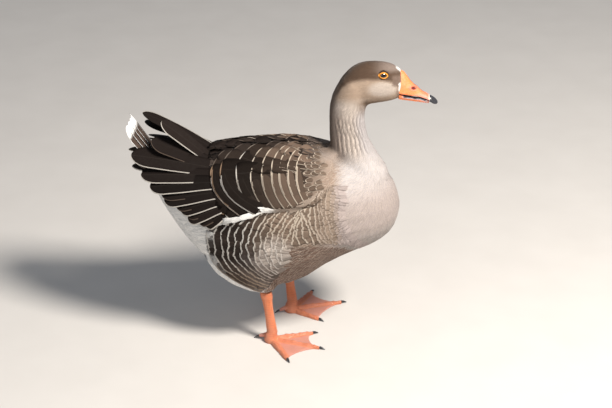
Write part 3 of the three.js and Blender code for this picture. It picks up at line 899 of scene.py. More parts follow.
# %% The lie of the plumage
def lie(points):
    """The way feathers point at places on the goose, before it is laid on the surface."""
    x = points[..., 0]
    y = np.abs(points[..., 1])
    z = points[..., 2]
    head_height = head_place(points)[..., 2]
    neck = fade(340, 385, z) * fade(60, 85, x)
    head = fade(438, 466, head_height) * fade(85, 95, x)
    thigh = fade(190, 150, z) * fade(-150, -90, x) * fade(55, 75, y)
    return layered(
        points,
        (-1.0, 0.0, -0.18),
        ((-0.9, 0, -0.75), fade(60, 110, x) * fade(150, 230, z)),
        ((-0.3, 0, -1.0), fade(115, 180, x)),
        ((-0.55, 0, -0.9), thigh),
        ((-0.12, 0, -1.0), neck),
        ((-0.5, 0, -1.0), neck * fade(400, 440, z)),
        ((-1.0, 0, -0.42), head),
        ((-1.0, 0, -0.1), head * fade(488, 500, head_height)),
    )


# %% Evenly spaced, irregular places
skin_corners = np.array(skin_faces)
first, second, third, fourth = (skin_points[skin_corners[:, k]] for k in range(4))
skin_areas = 0.5 * np.linalg.norm(np.cross(third - first, fourth - second), axis=1)
skin_centres = skin_points[skin_corners].mean(1)
TRIES = 5  # how many places are tried for each square of the spacing
NEIGHBOURS = [(a, b, c) for a in (-1, 0, 1) for b in (-1, 0, 1) for c in (-1, 0, 1)]


def crowded(point, cell, taken, spacing):
    """Whether a kept place is nearer to the point than the spacing."""
    for a, b, c in NEIGHBOURS:
        for other in taken.get((cell[0] + a, cell[1] + b, cell[2] + c), ()):
            gap = (other[0] - point[0]) ** 2 + (other[1] - point[1]) ** 2 + (other[2] - point[2]) ** 2
            if gap < spacing * spacing:
                return True
    return False


def scatter(wanted, spacing):
    """Places on the skin where `wanted` holds, none nearer to another than the spacing."""
    here = np.flatnonzero(wanted(skin_centres, skin_face_normals))
    areas = skin_areas[here]
    count = int(TRIES * areas.sum() / spacing**2)
    chosen = here[rng.choice(len(here), count, p=areas / areas.sum())]
    blend = rng.random((count, 2, 1))
    quad = skin_points[skin_corners[chosen]]
    low = quad[:, 0] * (1 - blend[:, 0]) + quad[:, 1] * blend[:, 0]
    high = quad[:, 3] * (1 - blend[:, 0]) + quad[:, 2] * blend[:, 0]
    tried = low * (1 - blend[:, 1]) + high * blend[:, 1]
    cells = np.floor(tried / spacing).astype(int)
    taken = {}
    kept = []
    for i, (cell, point) in enumerate(zip(map(tuple, cells.tolist()), tried.tolist())):
        if not crowded(point, cell, taken, spacing):
            taken.setdefault(cell, []).append(point)
            kept.append(i)
    return tried[kept]


def turned(ways, normals, spread):
    """The ways, each turned a little about its normal."""
    angle = rng.normal(0, spread, len(ways))[:, None]
    return ways * np.cos(angle) + np.cross(normals, ways) * np.sin(angle)


def scattered_batch(roots, shape, length, half, fringe, spread=0.12, stand=0.0, colour=marks, **form):
    """Blades rooted at scattered places, each with the colours of where its tip shows.

    spread is how unevenly they lie, and form is what `blades` takes."""
    count = len(roots)
    size = rng.normal(1, 0.08, count).clip(0.8, 1.25)
    _, normals, _ = nearest(roots)
    ways = turned(on_surface(lie(roots), normals), normals, spread)
    places, normals, first = march(roots, ways, length * size, shape[0])
    roll = rng.normal(0, 0.04, count)
    points, vanes, faces = blades(places, normals, shape, half * size, roll=roll, stand=stand, **form)
    tint, edge = colour(places[:, -2])
    return Batch(points, vanes, faces, first, tint, edge, fringe, 0.0)


# %% Where each kind of soft feather grows
EYE = np.array((175.5, 20.2, 496.5))  # the left eye's middle, in the head's own frame
LID_REACH = (7.7, 5.6)  # half of a lid's length and height
JAW_HEIGHT = 446  # the neck begins below this, in the head's own frame
NECK_REAR = 72
FACE_EDGE = 207.5  # where the feathers of the face end at the bill
WING_BACK = -140
WING_FRONT = 84
# The height of the folded wing's lower edge along the flank.
WING_EDGE = [(-132, 255), (-94, 272), (-73, 277), (-56, 283), (-35, 292), (-4, 293)]
WING_EDGE += [(26, 295), (45, 307), (62, 317), (76, 324), (84, 345)]


def near_eye(points):
    """How far places of the head are from the eyes, in lid widths (1 is the lid's rim)."""
    place = head_place(points)
    ahead = (place[..., 0] - EYE[0]) / LID_REACH[0]
    above = (place[..., 2] - EYE[2]) / LID_REACH[1]
    return np.sqrt(ahead**2 + above**2)


def wing_edge_height(x):
    return along_line(x, WING_EDGE)


def on_head(points, normals):
    x = points[:, 0]
    above_jaw = head_place(points)[:, 2] > JAW_HEIGHT
    return above_jaw & (x > 88) & (x < FACE_EDGE) & (near_eye(points) > 1.0)


def on_neck(points, normals):
    below_jaw = head_place(points)[:, 2] <= JAW_HEIGHT
    return below_jaw & (points[:, 2] > 352) & (points[:, 0] > NECK_REAR)


def on_wing(points):
    x = points[:, 0]
    z = points[:, 2]
    return (x < WING_FRONT) & (x > WING_BACK) & (z > wing_edge_height(x)) & (z > 250)


def on_breast(points, normals):
    return (points[:, 0] > 62) & (points[:, 2] <= 358) & ~on_wing(points)


def on_belly(points, normals):
    x, y, z = points[:, 0], np.abs(points[:, 1]), points[:, 2]
    under = (normals[:, 2] < -0.5) | (y < 55) | ((z < 150) & (y < 62)) | (z < belly_line(x) + 4)
    return under & (x <= 66) & (z < 262) & (x > vent_line(z) - 2)


def on_vent(points, normals):
    return (points[:, 0] <= vent_line(points[:, 2]) + 2) & (points[:, 2] < 330)


def on_shoulder(points, normals):
    return on_wing(points) & (points[:, 0] > 14) & ~on_neck(points, normals)


def on_back(points, normals):
    x, y, z = points[:, 0], np.abs(points[:, 1]), points[:, 2]
    return (z > 325) & (x < 78) & (y < 46) & ~on_neck(points, normals)


# %% Where the soft feathers are rooted
ROOT_SPACINGS = {
    "head": (on_head, 1.38),
    "neck": (on_neck, 1.75),
    "breast": (on_breast, 3.4),
    "belly": (on_belly, 4.8),
    "vent": (on_vent, 4.8),
    "shoulder": (on_shoulder, 8.0),
    "back": (on_back, 9.0),
}
roots_of = {part: scatter(where, spacing) for part, (where, spacing) in ROOT_SPACINGS.items()}
print("roots:", {part: len(roots) for part, roots in roots_of.items()})

# the head's feathers are shortest on the face and round the eyes, and none lies over a lid
roots = roots_of["head"]
length = 4.6 + 2.2 * fade(200, 150, roots[:, 0])
length = np.minimum(length, 2.6 + 3.5 * fade(1.1, 2.2, near_eye(roots)))
tips = roots + on_surface(lie(roots), nearest(roots)[1]) * length[:, None]
clear = near_eye(tips) > 0.92
roots_of["head"] = roots[clear]
head_length = length[clear]
neck_stand = 0.5 * furrows(roots_of["neck"]) * furrow_reach(roots_of["neck"])


# %% The soft feathers
SHOULDER_BROWN = (0.105, 0.075, 0.057)
SHOULDER_TAN = (0.25, 0.185, 0.14)
SHOULDER_RIM = (0.45, 0.37, 0.30)
BREAST_RIM = (0.37, 0.30, 0.25)


def soft_feathers(part, slot, material, shape=FINE, **looks):
    batch = scattered_batch(roots_of[part], shape, **looks)
    plumage_piece("feathers_" + part, [batch], material)


def shoulder_colours(points):
    """Brown with pale rims, lighter towards the breast."""
    x = points[:, 0]
    tint = layered(points, SHOULDER_BROWN, (SHOULDER_TAN, fade(45, 85, x)))
    edge = layered(points, SHOULDER_RIM, (BREAST_RIM, fade(50, 85, x)))
    return tint, edge


# How the blades of each kind are laid.
SHORT = {"slope": 0.055, "sunk": 0.05, "camber": 0.06, "thickness": 0.10, "bend": 30}
COMBED = {"slope": 0.045, "sunk": 0.1, "camber": 0.08, "thickness": 0.12, "bend": 34}
SMOOTH = {"slope": 0.025, "sunk": 0.05, "thickness": 0.08}
LOOSE = {"slope": 0.035, "sunk": 0.1, "thickness": 0.15}
TILED = {"shape": BODY, "sunk": 0.5, "camber": 0.04}
soft_feathers(
    "head", "crown_plumage", soft_plumage, length=head_length, half=1.0, fringe=0.4, spread=0.1, **SHORT
)
soft_feathers(
    "neck", "pale_plumage", soft_plumage,
    length=11.0, half=1.2, fringe=0.4, spread=0.08, stand=neck_stand, **COMBED
)
soft_feathers(
    "breast", "pale_plumage", soft_plumage, length=14.0, half=2.4, fringe=0.8, spread=0.08, **SMOOTH
)
for part in ("belly", "vent"):
    soft_feathers(part, "pale_plumage", soft_plumage, length=20.0, half=3.8, fringe=1.2, **LOOSE)
soft_feathers(
    "back", "brown_plumage", firm_plumage, length=26.0, half=9.0, fringe=1.6, slope=0.08, **TILED
)
soft_feathers(
    "shoulder", "brown_plumage", firm_plumage,
    length=18.0, half=5.4, fringe=2.1, slope=0.10, spread=0.18, colour=shoulder_colours, **TILED
)

# %% [markdown]
# ## Feathers in rows
# On the folded wing and the flank the feathers do stand in rows, and their pale rims line up
# into long arcs. So there the tips are set first, spaced along one arc at a time, and each
# blade is walked back from its tip. An arc on the wing is drawn round the body's middle by
# its angle from the top of the back. An arc on the flank is drawn by height.

# %% Curves over the skin
AXIS_HEIGHT = 250.0  # the middle of the body that the wing's angles are measured round
OUTSIDE = 230.0  # how far from the middle of the body rays start


def cast(origins, directions):
    """Where rays from outside meet the skin, or not-a-number where they miss it."""
    places = []
    for origin, direction in zip(origins.tolist(), directions.tolist()):
        found = skin_tree.ray_cast(origin, direction)[0]
        places.append((math.nan,) * 3 if found is None else tuple(found))
    return np.array(places)


def around_body(x, angle, side):
    """Places on the skin at X and at an angle in degrees from the top of the back."""
    turn = np.radians(angle)
    outward = np.stack([np.zeros_like(turn), side * np.sin(turn), np.cos(turn)], -1)
    origins = outward * OUTSIDE + np.stack([x, np.zeros_like(x), np.full_like(x, AXIS_HEIGHT)], -1)
    return cast(origins, -outward)


def from_side(x, z, side):
    """Places on the skin at X and Z, seen square from the side."""
    origins = np.stack([x, np.full_like(x, side * OUTSIDE), z], -1)
    return cast(origins, np.broadcast_to((0.0, -side, 0.0), origins.shape))


def on_skin(curve):
    return curve[~np.isnan(curve[:, 0])]


def spread_along(curve, spacing, start=0.0):
    """Picks places along a densely drawn curve at nearly even distances.

    Returns them, the curve's way there, and how far along the curve they are (0 to 1)."""
    curve = on_skin(curve)
    steps = np.linalg.norm(np.diff(curve, axis=0), axis=1)
    way = np.concatenate([[0], np.cumsum(steps)])
    stops = np.arange(start * spacing, way[-1], spacing)
    stops = stops + rng.normal(0, 0.05 * spacing, len(stops))

    def at(distances):
        return np.stack([np.interp(distances, way, curve[:, axis]) for axis in range(3)], -1)

    return at(stops), unit(at(stops + 3) - at(stops - 3)), stops / max(way[-1], 1)


# %% Blades in one row
SIDES_FAR = 30.0  # added to the distance of the sides, so that only the tips are rimmed


def row_batch(
    tips, along, shape, length, half, colours, fringe, shaft,
    slope, spread, thickness, tilt=0.0, joined=True,
):
    """Blades walked back from tips that stand in a row which runs `along`."""
    count = len(tips)
    _, normals, _ = nearest(tips)
    ways = np.cross(normals, on_surface(along, normals))
    ways = ways * np.where(ways[:, :1] > 0, -1, 1)
    ways = turned(on_surface(ways, normals), normals, spread)
    size = rng.normal(1, 0.05, count).clip(0.85, 1.15)
    places, normals, _ = march(tips, -ways, length * size, 1 - shape[0][::-1])
    places = places[:, ::-1]
    normals = normals[:, ::-1]
    _, _, first = nearest(places[:, 0])
    roll = tilt * np.where(tips[:, 1] < 0, -1.0, 1.0) + rng.normal(0, 0.015, count)
    points, vanes, faces = blades(
        places, normals, shape, half * size, 5, roll, slope=slope, sunk=0.6, thickness=thickness
    )
    if joined:  # the rims of the tips meet in one line
        vanes[:, :, 2] += SIDES_FAR
    return Batch(points, vanes, faces, first, *colours, fringe, shaft)


# %% The wing's rows, from the rear
# Each says where it crosses X, how strongly its lower part sweeps forward, its first and last
# angle, and its feathers' length, half width and spacing.
WING_ROWS = [
    (-137, 0.033, 38, 80, 64, 15, 18),
    (-125, 0.055, 10, 77, 62, 17, 22),
    (-109, 0.075, 5, 72, 60, 22, 32),
    (-81, 0.055, 4, 71, 58, 22, 32),
    (-56, 0.040, 4, 70, 52, 20, 29),
    (-37, 0.035, 4, 70, 46, 17, 24),
    (-20, 0.035, 5, 70, 42, 15, 21),
    (-7, 0.040, 6, 70, 38, 13, 18),
    (8, 0.036, 8, 70, 34, 11, 14),
    (23, 0.032, 14, 67, 30, 9, 11),
]
WING_STRAIGHT = (43, 38)
TOP_SWEEP = 0.03
JOINED_ROWS = 7  # the rims of this many rows, from the rear, join into lines
FIRST_DRAPED = 1  # from this row forward, long feathers hang down over the lower wing
DRAPED = blade((6, 6), 0.82, 2.2, 0.5)
DRAPED_FROM = 47  # the angle where the upper wing's broad feathers end and the draped ones begin
DRAPED_ROLL = 0.10
DRAPED_RIM = 4.2
WING_BLACK = (0.011, 0.0078, 0.0063)
WING_BROWN = (0.155, 0.108, 0.081)
WING_REAR = (0.05, 0.036, 0.029)
WING_TOP_SHADE = (0.03, 0.022, 0.018)
RIM_TAN = (0.52, 0.44, 0.355)
RIM_GREY = (0.56, 0.52, 0.475)
RIM_RUST = (0.27, 0.18, 0.12)
RIM_REAR = (0.12, 0.095, 0.078)
RIM_TOP_SHADE = (0.14, 0.11, 0.092)


def wing_colours(row, tips, share):
    """Near-black at the rear and low on the wing, browner in front and above, with painted shade along the
    top of the back.
    """
    x = tips[:, 0]
    upper = fade(0.62, 0.35, share)
    shaded_top = fade(0.18, 0.06, share)
    rear = fade(-80, -100, x) * fade(0.62, 0.48, share)
    tint = layered(
        tips,
        WING_BLACK,
        (WING_BROWN, fade(-75, 5, x) * (0.25 + 0.75 * upper)),
        (WING_REAR, fade(-60, -100, x) * upper * 0.5),
        # painted shade: the tops of the wings, along the back, are darkened
        (WING_TOP_SHADE, shaded_top * fade(15, -20, x)),
    )
    edge = layered(
        tips,
        RIM_TAN,
        (RIM_GREY, fade(-40, -80, x)),
        (RIM_RUST, fade(-92, -100, x) * fade(0.30, 0.60, share)),
        (RIM_REAR, rear * (row > 0)),
        # painted shade: the rims near the top are darkened too
        (RIM_TOP_SHADE, fade(0.25, 0.08, share)),
    )
    return tint, edge


def wing_arc(middle, sweep, angle):
    """A row's X at an angle: straight between two angles, and swept forward beyond them."""
    return middle + bowed(angle, *WING_STRAIGHT, sweep, TOP_SWEEP)


def draped_batch(row, side, start, past_end, setback):
    """One long feather hung along a row's arc, its rear edge on the arc."""
    middle, sweep, _, last, _, half, _ = WING_ROWS[row]
    shares, outline = DRAPED
    angle = start + (last + past_end - start) * shares
    half = half * 0.62
    x = wing_arc(middle, sweep, angle) + half * outline + setback
    places, normals, first = nearest(around_body(x, angle, side))
    height = 3.2 if row < 3 else 1.7
    points, vanes, faces = blades(
        places[None], normals[None], DRAPED, half, 7, DRAPED_ROLL * side, height, camber=0.05, thickness=0.5
    )
    front = vanes[:, :, 0] * side < -0.01
    vanes[:, :, 2] += np.where(front, FAR, 0.0)
    vanes[:, :, 1] += 1.0
    colours = wing_colours(row, places[4:5], np.array([0.62 if row < 5 else 0.50]))
    return Batch(points, vanes, faces, first[:1], *colours, DRAPED_RIM, 0.05)


def wing_rows(side):
    batches = []
    for row, (middle, sweep, first, last, length, half, spacing) in enumerate(WING_ROWS):
        if row >= FIRST_DRAPED:
            last = DRAPED_FROM
            for start, past_end, setback in ((33, -9, 1.5), (41, 1, 0.0)):
                batches.append(draped_batch(row, side, start + rng.uniform(-2, 2), past_end, setback))
        angle = np.linspace(first, last, 120)
        curve = around_body(wing_arc(middle, sweep, angle), angle, side)
        tips, along, share = spread_along(curve, spacing, 0.5 if row % 2 else 0.1)
        colours = wing_colours(row, tips, share)
        fringe = 2.1 if half > 12 else 1.9
        form = {"slope": 0.065, "spread": 0.035, "thickness": 0.5, "tilt": 0.03, "joined": row < JOINED_ROWS}
        batches.append(row_batch(tips, along, BROAD, length, half, colours, fringe, 0.08, **form))
    return batches


for name, side in SIDES.items():
    plumage_piece("coverts_" + name, wing_rows(side), firm_plumage)

# %% The flank's rows: where each crosses X at its middle
FLANK_ROWS = [-133, -121, -108, -97, -85, -73, -62, -51, -41, -31, -21, -12, -3]
FLANK_ROWS += [6, 14, 22, 30, 38, 46, 54, 61, 68, 75, 82, 89, 96]
STREAKY_FROM = 58  # from this X forward the feathers are small and stand less evenly
FLANK_TOP = 318
FLANK_FOOT = 104
FLANK_BROWN = (0.15, 0.112, 0.086)
FLANK_TAN = (0.24, 0.185, 0.145)
FLANK_LOW_BROWN_AND_SHADE = (0.055, 0.04, 0.032)
FLANK_RIM = (0.43, 0.365, 0.30)
REAR_RIM = (0.50, 0.475, 0.44)
LOW_RIM_DARK_AND_SHADE = (0.19, 0.145, 0.11)
THIGH_RIM = (0.54, 0.49, 0.45)


def flank_curve(middle):
    """A row's X and Z down the flank: it bows to the rear, and streams down in front."""
    front = float(fade(0, 40, middle))
    z = np.linspace(FLANK_TOP, FLANK_FOOT, 160)
    foot = VENT_FOOT * (1 - front) + 284 * front
    bow = bowed(z, VENT_TOP, foot, 0.007 * (1 - front), 0.012 * (1 - front) + 0.005 * front)
    waver = 1.5 * np.sin(z / 9.5 + middle) + 0.5 * np.sin(z / 4.1 + 3 * middle)
    x = middle + bow + waver
    fits = (z < wing_edge_height(x) - 2) & (z > belly_line(x) + 3)
    return x[fits], z[fits]


def flank_colours(tips):
    """The body's markings there, with a speckled thigh, rows darkened low down partly by painted shade, and
    pale rims.
    """
    x = tips[:, 0]
    z = tips[:, 2]
    body, _ = marks(tips)
    mottled = spot(tips, *THIGH_SPOT)
    # low on the flank the rows and their rims darken: their own dark brown, deepened with painted shade
    # where the flank turns under
    low = fade(190, 146, z)
    speck = rng.uniform(0.55, 1.1, len(tips))
    tint = layered(
        tips,
        body * (1 - mottled * (1 - speck))[:, None],
        (FLANK_BROWN, fade(0, 20, x) * fade(86, 60, x) * 0.8),
        (FLANK_TAN, fade(50, 74, x)),
        (CREAM, fade(82, 104, x + 0.12 * (z - 250))),
        (FLANK_LOW_BROWN_AND_SHADE, low * 0.7),
    )
    edge = layered(
        tips,
        FLANK_RIM,
        (REAR_RIM, fade(-20, -70, x)),
        (LOW_RIM_DARK_AND_SHADE, low),
        (THIGH_RIM, mottled),
        (BREAST_RIM, fade(40, 70, x)),
        (CREAM, fade(84, 104, x)),
    )
    return tint, edge


def flank_row(row, middle, side):
    """One row's batch, or nothing where the row has no room."""
    x, z = flank_curve(middle)
    if len(x) < 8:
        return None
    curve = on_skin(from_side(x, z, side))
    curve = curve[np.abs(curve[:, 1]) > (50 if row > 2 else 18)]
    front = float(fade(-30, 30, middle))
    small = float(fade(-62, -25, middle))
    streaky = middle > STREAKY_FROM
    spacing = 5.2 if streaky else 8.0 - 3.0 * small
    half = 4.4 if streaky else 7.5 - 3.2 * small
    tips, along, _ = spread_along(curve, spacing, 0.5 if row % 2 else 0.0)
    count = len(tips)
    tips = tips + rng.normal(0, 1.1 if streaky else 0.7, count)[:, None] * (1, 0, 0)
    colours = flank_colours(tips)
    fringe = rng.uniform(2.2, 3.6, count) * (0.7 if streaky else 0.85 + 0.15 * front)
    shape = BODY if middle > 80 else SQUARE
    form = {"slope": 0.075, "spread": 0.08, "thickness": 0.3}
    return row_batch(tips, along, shape, 32 - 8 * front, half, colours, fringe, 0.05, **form)


for name, side in SIDES.items():
    rows = [flank_row(row, middle, side) for row, middle in enumerate(FLANK_ROWS)]
    rows = [batch for batch in rows if batch is not None]
    plumage_piece("flank_" + name, rows, firm_plumage)

# %% [markdown]
# ## Flight feathers and tail
# The long quills of the folded wing fan out past the tail. They are few, so each is placed
# by itself: where its shaft leaves the wing, where its tip is and how its blade leans. Only
# the blade's lower, outer edge is pale. The tail is a steep fan of brown quills with broad
# white borders, and white feathers cover its root above and below.

# %% Quills on straight shafts
QUILL = blade((7, 7), 0.80, 2.0, 0.80)


def quill_batch(roots, tips, facings, half, colours, fringe, bow, camber, shaft, rimmed_side=0):
    """Blades along straight shafts that bow towards where they face."""
    shares = QUILL[0]
    along = tips - roots
    facing = unit(facings - (facings * unit(along)).sum(-1, keepdims=True) * unit(along))
    rise = bow * np.sin(math.pi * shares)
    places = roots[:, None] + along[:, None] * shares[None, :, None] + facing[:, None] * rise[None, :, None]
    normals = np.broadcast_to(facing[:, None], places.shape)
    points, vanes, faces = blades(places, normals, QUILL, half, 7, camber=camber, thickness=0.7, bend=1e6)
    if rimmed_side:
        # the inner vane is told that its edge is far away, so that it gets no pale rim
        inner = vanes[:, :, 0] * rimmed_side < -0.01
        vanes[:, :, 2] += np.where(inner, FAR, 0.0)
        vanes[:, :, 1] += 4.0
    _, _, first = nearest(roots)
    return Batch(points, vanes, faces, first, *colours, fringe, shaft)


# %% Flight feathers
# Each says where its shaft leaves the wing, its tip, its width and its lean in degrees.
FLIGHT_FEATHERS = [
    ((-136, 24, 356), (-211, 38, 424), 29, 55),
    ((-136, 52, 346), (-265, 50, 366), 40, 48),
    ((-150, 50, 338), (-266, 30, 336), 18, 40),
    ((-136, 68, 336), (-248, 62, 333), 34, 50),
    ((-134, 79, 327), (-232, 75, 316), 34, 45),
    ((-129, 91, 312), (-207, 85, 294), 32, 40),
    ((-124, 99, 299), (-178, 94, 279), 29, 37),
    ((-116, 106, 288), (-165, 99, 263), 27, 35),
    ((-106, 110, 279), (-134, 105, 254), 24, 33),
]
# The left wing's first ones are held more loosely: their tips and leans.
LOOSER_LEFT = [
    ((-249, 30, 414), 105),
    ((-247, 40, 392), 95),
    ((-277, 30, 342), 26),
    ((-242, 50, 362), 80),
    ((-233, 60, 338), 55),
]
ROOT_BEHIND = 0.22  # how much of its length each quill runs on under the coverts
ROOT_DEPTH = 5.5
UNDER_DEPTH = 4.0
QUILL_BLACK = (0.0105, 0.0075, 0.0065)
QUILL_RIM = (0.58, 0.54, 0.49)
UNDER_RIM = (0.10, 0.075, 0.06)


def flight_quill(i, side):
    """The root, the tip and the facing of one flight feather."""
    root, tip, _, lean = FLIGHT_FEATHERS[i]
    if side == LEFT and i < len(LOOSER_LEFT):
        tip, lean = LOOSER_LEFT[i]
    turn = math.radians(lean)
    root = np.array(root, float) * (1, side, 1)
    tip = np.array(tip, float) * (1, side, 1)
    facing = np.array((0, side * math.cos(turn), math.sin(turn)))
    return root + (root - tip) * ROOT_BEHIND - facing * ROOT_DEPTH, tip, facing


def flight_quills(side):
    upper = len(FLIGHT_FEATHERS)
    roots, tips, facings = map(list, zip(*[flight_quill(i, side) for i in range(upper)]))
    halves = [width / 2 for _, _, width, _ in FLIGHT_FEATHERS]
    # one more quill lies under each, a little shorter and nearer to the body
    for i in range(upper - 1):
        root = (roots[i] + roots[i + 1]) / 2
        tip = (tips[i] + tips[i + 1]) / 2
        facing = unit(facings[i] + facings[i + 1])
        roots.append(root - facing * UNDER_DEPTH)
        tips.append(root + (tip - root) * 0.93 - facing * 1.6)
        facings.append(facing)
        halves.append((halves[i] + halves[i + 1]) / 2)
    count = len(roots)
    tint = np.ones((count, 3)) * QUILL_BLACK * rng.uniform(0.8, 1.5, (count, 1))
    edge = np.ones((count, 3)) * QUILL_RIM
    edge[upper:] = UNDER_RIM
    shafts = (np.array(roots), np.array(tips), np.array(facings), np.array(halves))
    return quill_batch(*shafts, (tint, edge), 4.0, bow=3.0, camber=0.05, shaft=0.05, rimmed_side=-side)


for name, side in SIDES.items():
    solid = "flight_feathers_" + name
    plumage_piece("quills_" + name, [flight_quills(side)], firm_plumage, [solid])

# %% The tail
TAIL_ROOT = np.array((-190.0, 0.0, 312.0))
TAIL_PITCH = math.radians(53.5)
TAIL_LENGTH = 131.0
TAIL_HALF_WIDTH = 9  # from the middle quill's root to the outer one's
TAIL_SPREAD = math.radians(9)
TAIL_ROLL = math.radians(22)
TAIL_QUILLS = 6
TIP_WHITE = 0.125  # distances from the tip count this much, so the white reaches further in there
TAIL_BROWN = (0.075, 0.053, 0.043)
TAIL_WHITE = (0.90, 0.90, 0.89)
ACROSS = np.array((0, 1.0, 0))


def tail_quills():
    axis = np.array((-math.cos(TAIL_PITCH), 0, math.sin(TAIL_PITCH)))
    facing = np.array((math.sin(TAIL_PITCH), 0, math.cos(TAIL_PITCH)))
    place = np.linspace(-TAIL_SPREAD, TAIL_SPREAD, TAIL_QUILLS)[:, None]
    outward = place / TAIL_SPREAD
    # the middle quills lie on top of the outer ones
    steps = np.abs(np.arange(TAIL_QUILLS) - TAIL_QUILLS // 2)[:, None]
    arch = 6.0 * outward**2 + 0.6 * steps
    roots = TAIL_ROOT - facing * arch + ACROSS * outward * TAIL_HALF_WIDTH
    tips = roots + (axis * np.cos(place) + ACROSS * np.sin(place)) * TAIL_LENGTH
    rolls = TAIL_ROLL * outward
    facings = facing * np.cos(rolls) + ACROSS * np.sin(rolls)
    tint = np.ones((TAIL_QUILLS, 3)) * TAIL_BROWN * rng.uniform(0.85, 1.15, (TAIL_QUILLS, 1))
    edge = np.ones((TAIL_QUILLS, 3)) * TAIL_WHITE
    batch = quill_batch(roots, tips, facings, 16.0, (tint, edge), 2.2, bow=-3.0, camber=0.06, shaft=0.1)
    batch.vanes[:, 1] *= TIP_WHITE
    return batch


plumage_piece("tail_quills", [tail_quills()], firm_plumage, ["tail"])

# %% [markdown]
# ## The band over the wing's edge
# Loose white feathers of the flank lie over the folded wing's lower edge and hold it.

# %% White band feathers
BAND_REACH = (-118, 60)
BAND_BROWN = (0.27, 0.215, 0.175)


def band_feathers(side):
    """Narrow feathers along the wing's edge: white behind, greyed towards the rear as painted shade, browner
    and thinner in front.
    """
    x = np.linspace(*BAND_REACH, 200)
    curve = from_side(x, wing_edge_height(x) - 3.5, side)
    roots, along, _ = spread_along(curve, 1.2)
    x = roots[:, 0]
    count = len(roots)
    thin = 1 - 0.5 * fade(-35, 25, x)
    roots = roots + (rng.normal(0, 0.8, count) * thin)[:, None] * (0, 0, 1)
    _, normals, _ = nearest(roots)
    ways = turned(on_surface(-along, normals), normals, 0.10)
    lengths = rng.uniform(15, 22, count)
    places, normals, first = march(roots, ways, lengths, BODY[0])
    half = rng.uniform(2.8, 3.8, count) * thin
    stand = 2.6 + 2.2 * fade(-25, -60, x)
    points, vanes, faces = blades(places, normals, BODY, half, stand=stand, slope=0.05, thickness=0.15)
    # painted shade: the white greys towards the rear
    white = np.asarray(WHITE) * (1 - 0.22 * fade(-40, -80, x[:, None]))
    tint = layered(roots, white, (BAND_BROWN, fade(-25, 15, x)))
    return Batch(points, vanes, faces, first, tint, tint, 1.0, 0.0)


for name, side in SIDES.items():
    plumage_piece("band_" + name, [band_feathers(side)], soft_plumage)

# %% [markdown]
# ## The bill
# A goose's bill is a deep wedge of horn under soft orange skin. Both mandibles come from
# their solids, remeshed fine enough to be carved: the nostril is pressed in, its rim swells,
# the ridge is rounded, and along the mouth the comb-like lamellae that graze grass stand in
# a slot of dark slate, deepened with painted shade. Its colours are soft patches on the same fine mesh.

# %% Carving the bill
NOSTRIL = (229.6, 474.5)  # along the bill and its height
NOSTRIL_RADII = (5.2, 2.2)
NOSTRIL_SLOPE = 0.18
BILL_VOXEL = 0.9
NAIL_VOXEL = 0.7
LAMELLA = 1.9  # from one lamella to the next
# Lines of heights along the bill: the mouth, and how much deeper the mouth and the lower edge
# hang than in the solids.
MOUTH = [(205, 466.0), (227, 465.2), (240, 462.8), (250, 458.6), (258, 453.6), (266, 449.0)]
MOUTH_DROP = [(205, 5), (209, 6), (233, 8), (248, 7.5), (257, 5.5), (264, 4.5), (270, 2.5), (277, 0)]
LOWER_DROP = [(205, 2.5), (209, 3.5), (233, 5.5), (248, 6), (257, 5.5), (264, 4.5), (270, 2.5), (277, 0)]
LOWER_LIFT = 3.8  # closes the lower half on the upper one towards the tip


def carve(points, normals, depth, mask):
    """Presses a net of points in by the depth where the mask is 1."""
    return points - normals * (depth * mask)[:, None]


def bill_mesh(node):
    points, faces = refined([node], "bill", BILL_VOXEL, 6)
    place = head_place(points)
    # the base runs back into the feathers of the face
    place[:, 0] -= 5.0 * fade(213, 208.6, place[:, 0])
    points = from_head(place)
    return points, faces, point_normals(points, faces)


upper, upper_faces, upper_normals = bill_mesh("bill_upper")
lower, lower_faces, lower_normals = bill_mesh("bill_lower")
nail, nail_faces = refined(["bill_nail"], "nail", NAIL_VOXEL, 5)
whole = head_place(np.concatenate([upper, lower, nail]))
stations = np.arange(206, whole[:, 0].max(), 3.0)
slices = [whole[np.abs(whole[:, 0] - station) < 2.5, 2] for station in stations]
ridge_line = [(station, heights.max()) for station, heights in zip(stations, slices)]
floor_line = [(station, heights.min()) for station, heights in zip(stations, slices)]
print("bill:", len(upper), "and", len(lower), "points")


def deepened(points, lift=0.0):
    """Hangs the mouth's line and the lower edge further below the ridge."""
    place = head_place(points)
    x, z = place[:, 0], place[:, 2]
    top = along_line(x, ridge_line)
    mouth = along_line(x, MOUTH)
    above = np.clip((top - z) / np.maximum(top - mouth, 1), 0, 1)
    below = np.clip((mouth - z) / np.maximum(mouth - along_line(x, floor_line), 1), 0, 1)
    mouth_drop = along_line(x, MOUTH_DROP)
    place[:, 2] -= mouth_drop * above**2 + (along_line(x, LOWER_DROP) - mouth_drop) * below
    place[:, 2] += lift * fade(230, 250, x) * (1 - below)
    return from_head(place)


# %% The bill's upper half
ORANGE = (0.97, 0.24, 0.075)
ORANGE_BASE = (0.97, 0.25, 0.088)
FRONT_PINK = (0.84, 0.20, 0.12)
NOSTRIL_PINK = (0.80, 0.20, 0.15)
# painted shade for the depth of the nostril's opening
NOSTRIL_SHADE = (0.10, 0.012, 0.012)
LIP_PINK = (0.80, 0.42, 0.36)
MOUTH_GAP_SHADE = (0.04, 0.03, 0.03)
RIDGE_DARK = (0.05, 0.04, 0.04)
TIP_PALE = (0.90, 0.70, 0.62)


def from_nostril(place):
    """How far places are from the nostril's middle, in its own widths."""
    ahead = place[:, 0] - NOSTRIL[0]
    above = place[:, 2] - NOSTRIL[1] + NOSTRIL_SLOPE * ahead
    return np.hypot(ahead / NOSTRIL_RADII[0], above / NOSTRIL_RADII[1])


